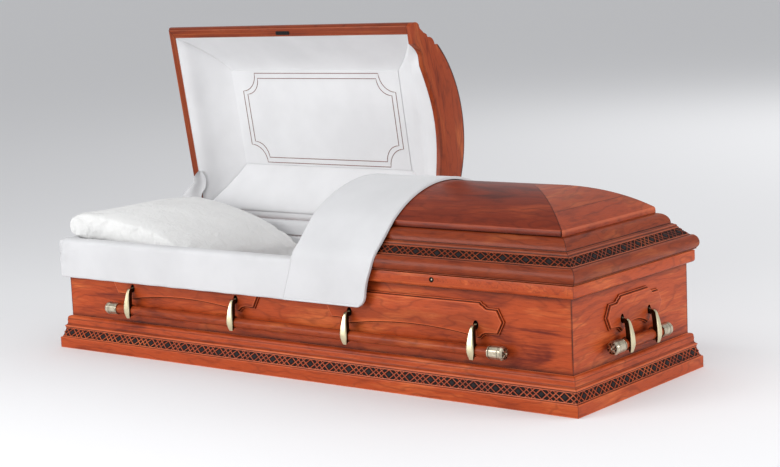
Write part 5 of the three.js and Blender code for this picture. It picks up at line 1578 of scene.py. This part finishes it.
def throw():
    """The padded overlay that hangs over the front of the foot lid, with a piped edge."""
    face = lid_face()
    widest = int(np.argmin([i for i, _ in face]))
    profile = face[widest:] + [(CROWN_INSET - 3.5, CROWN_BASE + 9), (CROWN_INSET - 1, CROWN_SPRING)]
    profile += [(HALF_W - y, crown_height(HALF_W - y)) for y in CROWN_HALF * np.linspace(0.99, 0, 30)]
    hull = []
    for p in sorted(profile):
        while len(hull) > 1 and ((hull[-1][0] - hull[-2][0]) * (p[1] - hull[-2][1])
                                 - (hull[-1][1] - hull[-2][1]) * (p[0] - hull[-2][0])) >= -1e-6:
            hull.pop()
        hull.append(p)
    low, high = corners("overlay")
    front, hem = hull[0][0], low[2]
    path = [(-(HALF_W - front), z) for z in np.linspace(hem, hull[0][1] - 6, 12)]
    path += [(-(HALF_W - i), z) for i, z in hull]
    path += [(HALF_W - i, z) for i, z in hull[::-1][1:] if HALF_W - i < OVERLAY["back"]]
    path = np.array(path)
    run = np.concatenate([[0], np.cumsum(np.hypot(*np.diff(path, axis=0).T))])
    near = [0, 0.5, 1.3, 2.4, 3.8, 5.4, 7, 9, 12, 16, 21, 27, 34]
    stations = np.concatenate([near, np.arange(42, run[-1] - 14, 8), run[-1] - np.array(near[7::-1])])
    ys, zs = np.interp(stations, run, path[:, 0]), np.interp(stations, run, path[:, 1])
    smoothed(ys[13:-8], 6)
    smoothed(zs[13:-8], 6)
    heights, lefts, rights = zip(*OVERLAY["edges"])
    left = np.where(ys < 0, np.interp(zs, heights, lefts), lefts[-1])
    right = np.where(ys < 0, np.interp(zs, heights, rights), rights[-1])
    for edge, sign, radius in ((right, -1, OVERLAY["corner"]), (left, 1, OVERLAY["inner_corner"])):
        smoothed(edge, 10)
        h = np.clip(stations, 0, radius)
        edge += sign * (radius - np.sqrt(radius ** 2 - (radius - h) ** 2))
    outer, inner = [], []
    columns = len(near) * 2 + 22
    for n, (y, z) in enumerate(zip(ys, zs)):
        a, b = max(n - 1, 0), min(n + 1, len(ys) - 1)
        ahead = np.array([ys[b] - ys[a], zs[b] - zs[a]])
        ahead /= np.linalg.norm(ahead)
        out = np.array([-ahead[1], ahead[0]])
        wide = right[n] - left[n]
        us = np.concatenate([near, np.linspace(44, wide - 44, 22), wide - np.array(near[::-1])])
        free = min(1.0, max(0.0, (z - 385) / 50))
        for u in us:
            x = left[n] + u
            edge = min(u, wide - u, stations[n], stations[-1] - stations[n])
            thick = OVERLAY["thick"] * math.sqrt(1 - (1 - min(edge / 3.6, 1)) ** 2)
            thick += 1.6 * math.exp(-((edge - 3.2) / 1.7) ** 2) - 1.0 * math.exp(-((edge - 7.4) / 1.4) ** 2)
            thick = max(thick, 0.05)
            soft = 1.6 * lump(x / 130, y / 130, z / 150 + 2) + 0.5 * lump(x / 45, y / 45, z / 60)
            droop = free * 0.011 * max(0.0, FOOT_CUT - 4 - x) ** 2
            under = OVERLAY["lift"] + max(soft, 0) * 0.8 - droop
            for lift, rows in ((under, inner), (under + thick + soft * 0.5 * min(edge / 10, 1), outer)):
                rows.append((x + droop * 0.2, y + out[0] * lift, z + out[1] * lift))
    shape = Shape().add(outer + inner, two_sided(columns, len(ys)))
    piece = shape.build("overlay_cloth", WHITE_CREPE_SHADED, "foot_lid", ["overlay"], "white_cloth", sharp=70)
    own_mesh(piece)


hinges()
lid_lining()
latch()
body_lining()
mattress()
pillow()
extendover()
throw()


# Camera, floor and lights
# Softboxes: place, target and size in metres, watts, and whether reflections show them
SOFTBOXES = {
    "overhead": ((0.5, -2.8, 3.4), (0.5, -1.9, 0.0), (3.6, 2.2), 62, True),
    "behind": ((1.4, 7.2, 4.6), (1.6, 7.6, 0.0), (10.0, 5.0), 210, False),
    "front_left": ((-2.4, -4.6, 1.5), (0.1, 0.0, 0.3), (3.0, 2.4), 116, True),
    "foot_end": ((4.6, 1.4, 1.7), (0.9, 0.0, 0.3), (2.4, 2.2), 80, True),
}
CAMERA = {"azimuth": 38.17, "pitch": 8.34, "roll": -2.47, "focal": 1780.7, "width": 780,
          "place": (3663.09, -4484.14, 1255.73)}


def camera():
    az, pitch, roll = (math.radians(CAMERA[k]) for k in ("azimuth", "pitch", "roll"))
    back = Vector((math.sin(az) * math.cos(pitch), -math.cos(az) * math.cos(pitch), math.sin(pitch)))
    right = (-back).cross(Vector((0, 0, 1))).normalized()
    up = right.cross(-back)
    across = math.cos(roll) * right + math.sin(roll) * up
    above = -math.sin(roll) * right + math.cos(roll) * up
    data = bpy.data.cameras.new("camera")
    data.sensor_width = 36
    data.lens = 36 * CAMERA["focal"] / CAMERA["width"]
    data.clip_end = 2000
    made = linked("camera", data)
    made.matrix_world = Matrix.Translation(Vector(CAMERA["place"]) * MM) @ Matrix(
        [across, above, back]).transposed().to_4x4()
    bpy.context.scene.camera = made


def softbox(name, place, target, size, power, glossy):
    data = bpy.data.lights.new(name, "AREA")
    data.shape, data.size, data.size_y = "RECTANGLE", *size
    data.energy = power
    made = linked(name, data)
    made.location = place
    made.rotation_mode = "QUATERNION"
    made.rotation_quaternion = (Vector(target) - Vector(place)).to_track_quat("-Z", "Y")
    made.visible_glossy = glossy


def studio():
    floor = bpy.data.meshes.new("floor")
    reach = 400
    floor.from_pydata([(-reach, -reach, 0), (reach, -reach, 0), (reach, reach, 0), (-reach, reach, 0)], [],
                      [[0, 1, 2, 3]])
    f = Finish("pale_floor")
    f.set(Base_Color=(0.86, 0.86, 0.87, 1), Roughness=0.9, Specular_IOR_Level=0.1)
    floor.materials.append(f.material)
    linked("floor", floor)
    world = bpy.data.worlds.new("studio")
    bpy.context.scene.world = world
    world.use_nodes = True
    sky = world.node_tree.nodes["Background"].inputs
    sky[0].default_value = (0.93, 0.94, 0.96, 1)
    sky[1].default_value = 0.60
    for name, settings in SOFTBOXES.items():
        softbox(name, *settings)


camera()
studio()
bpy.context.scene.view_settings.view_transform = "Standard"
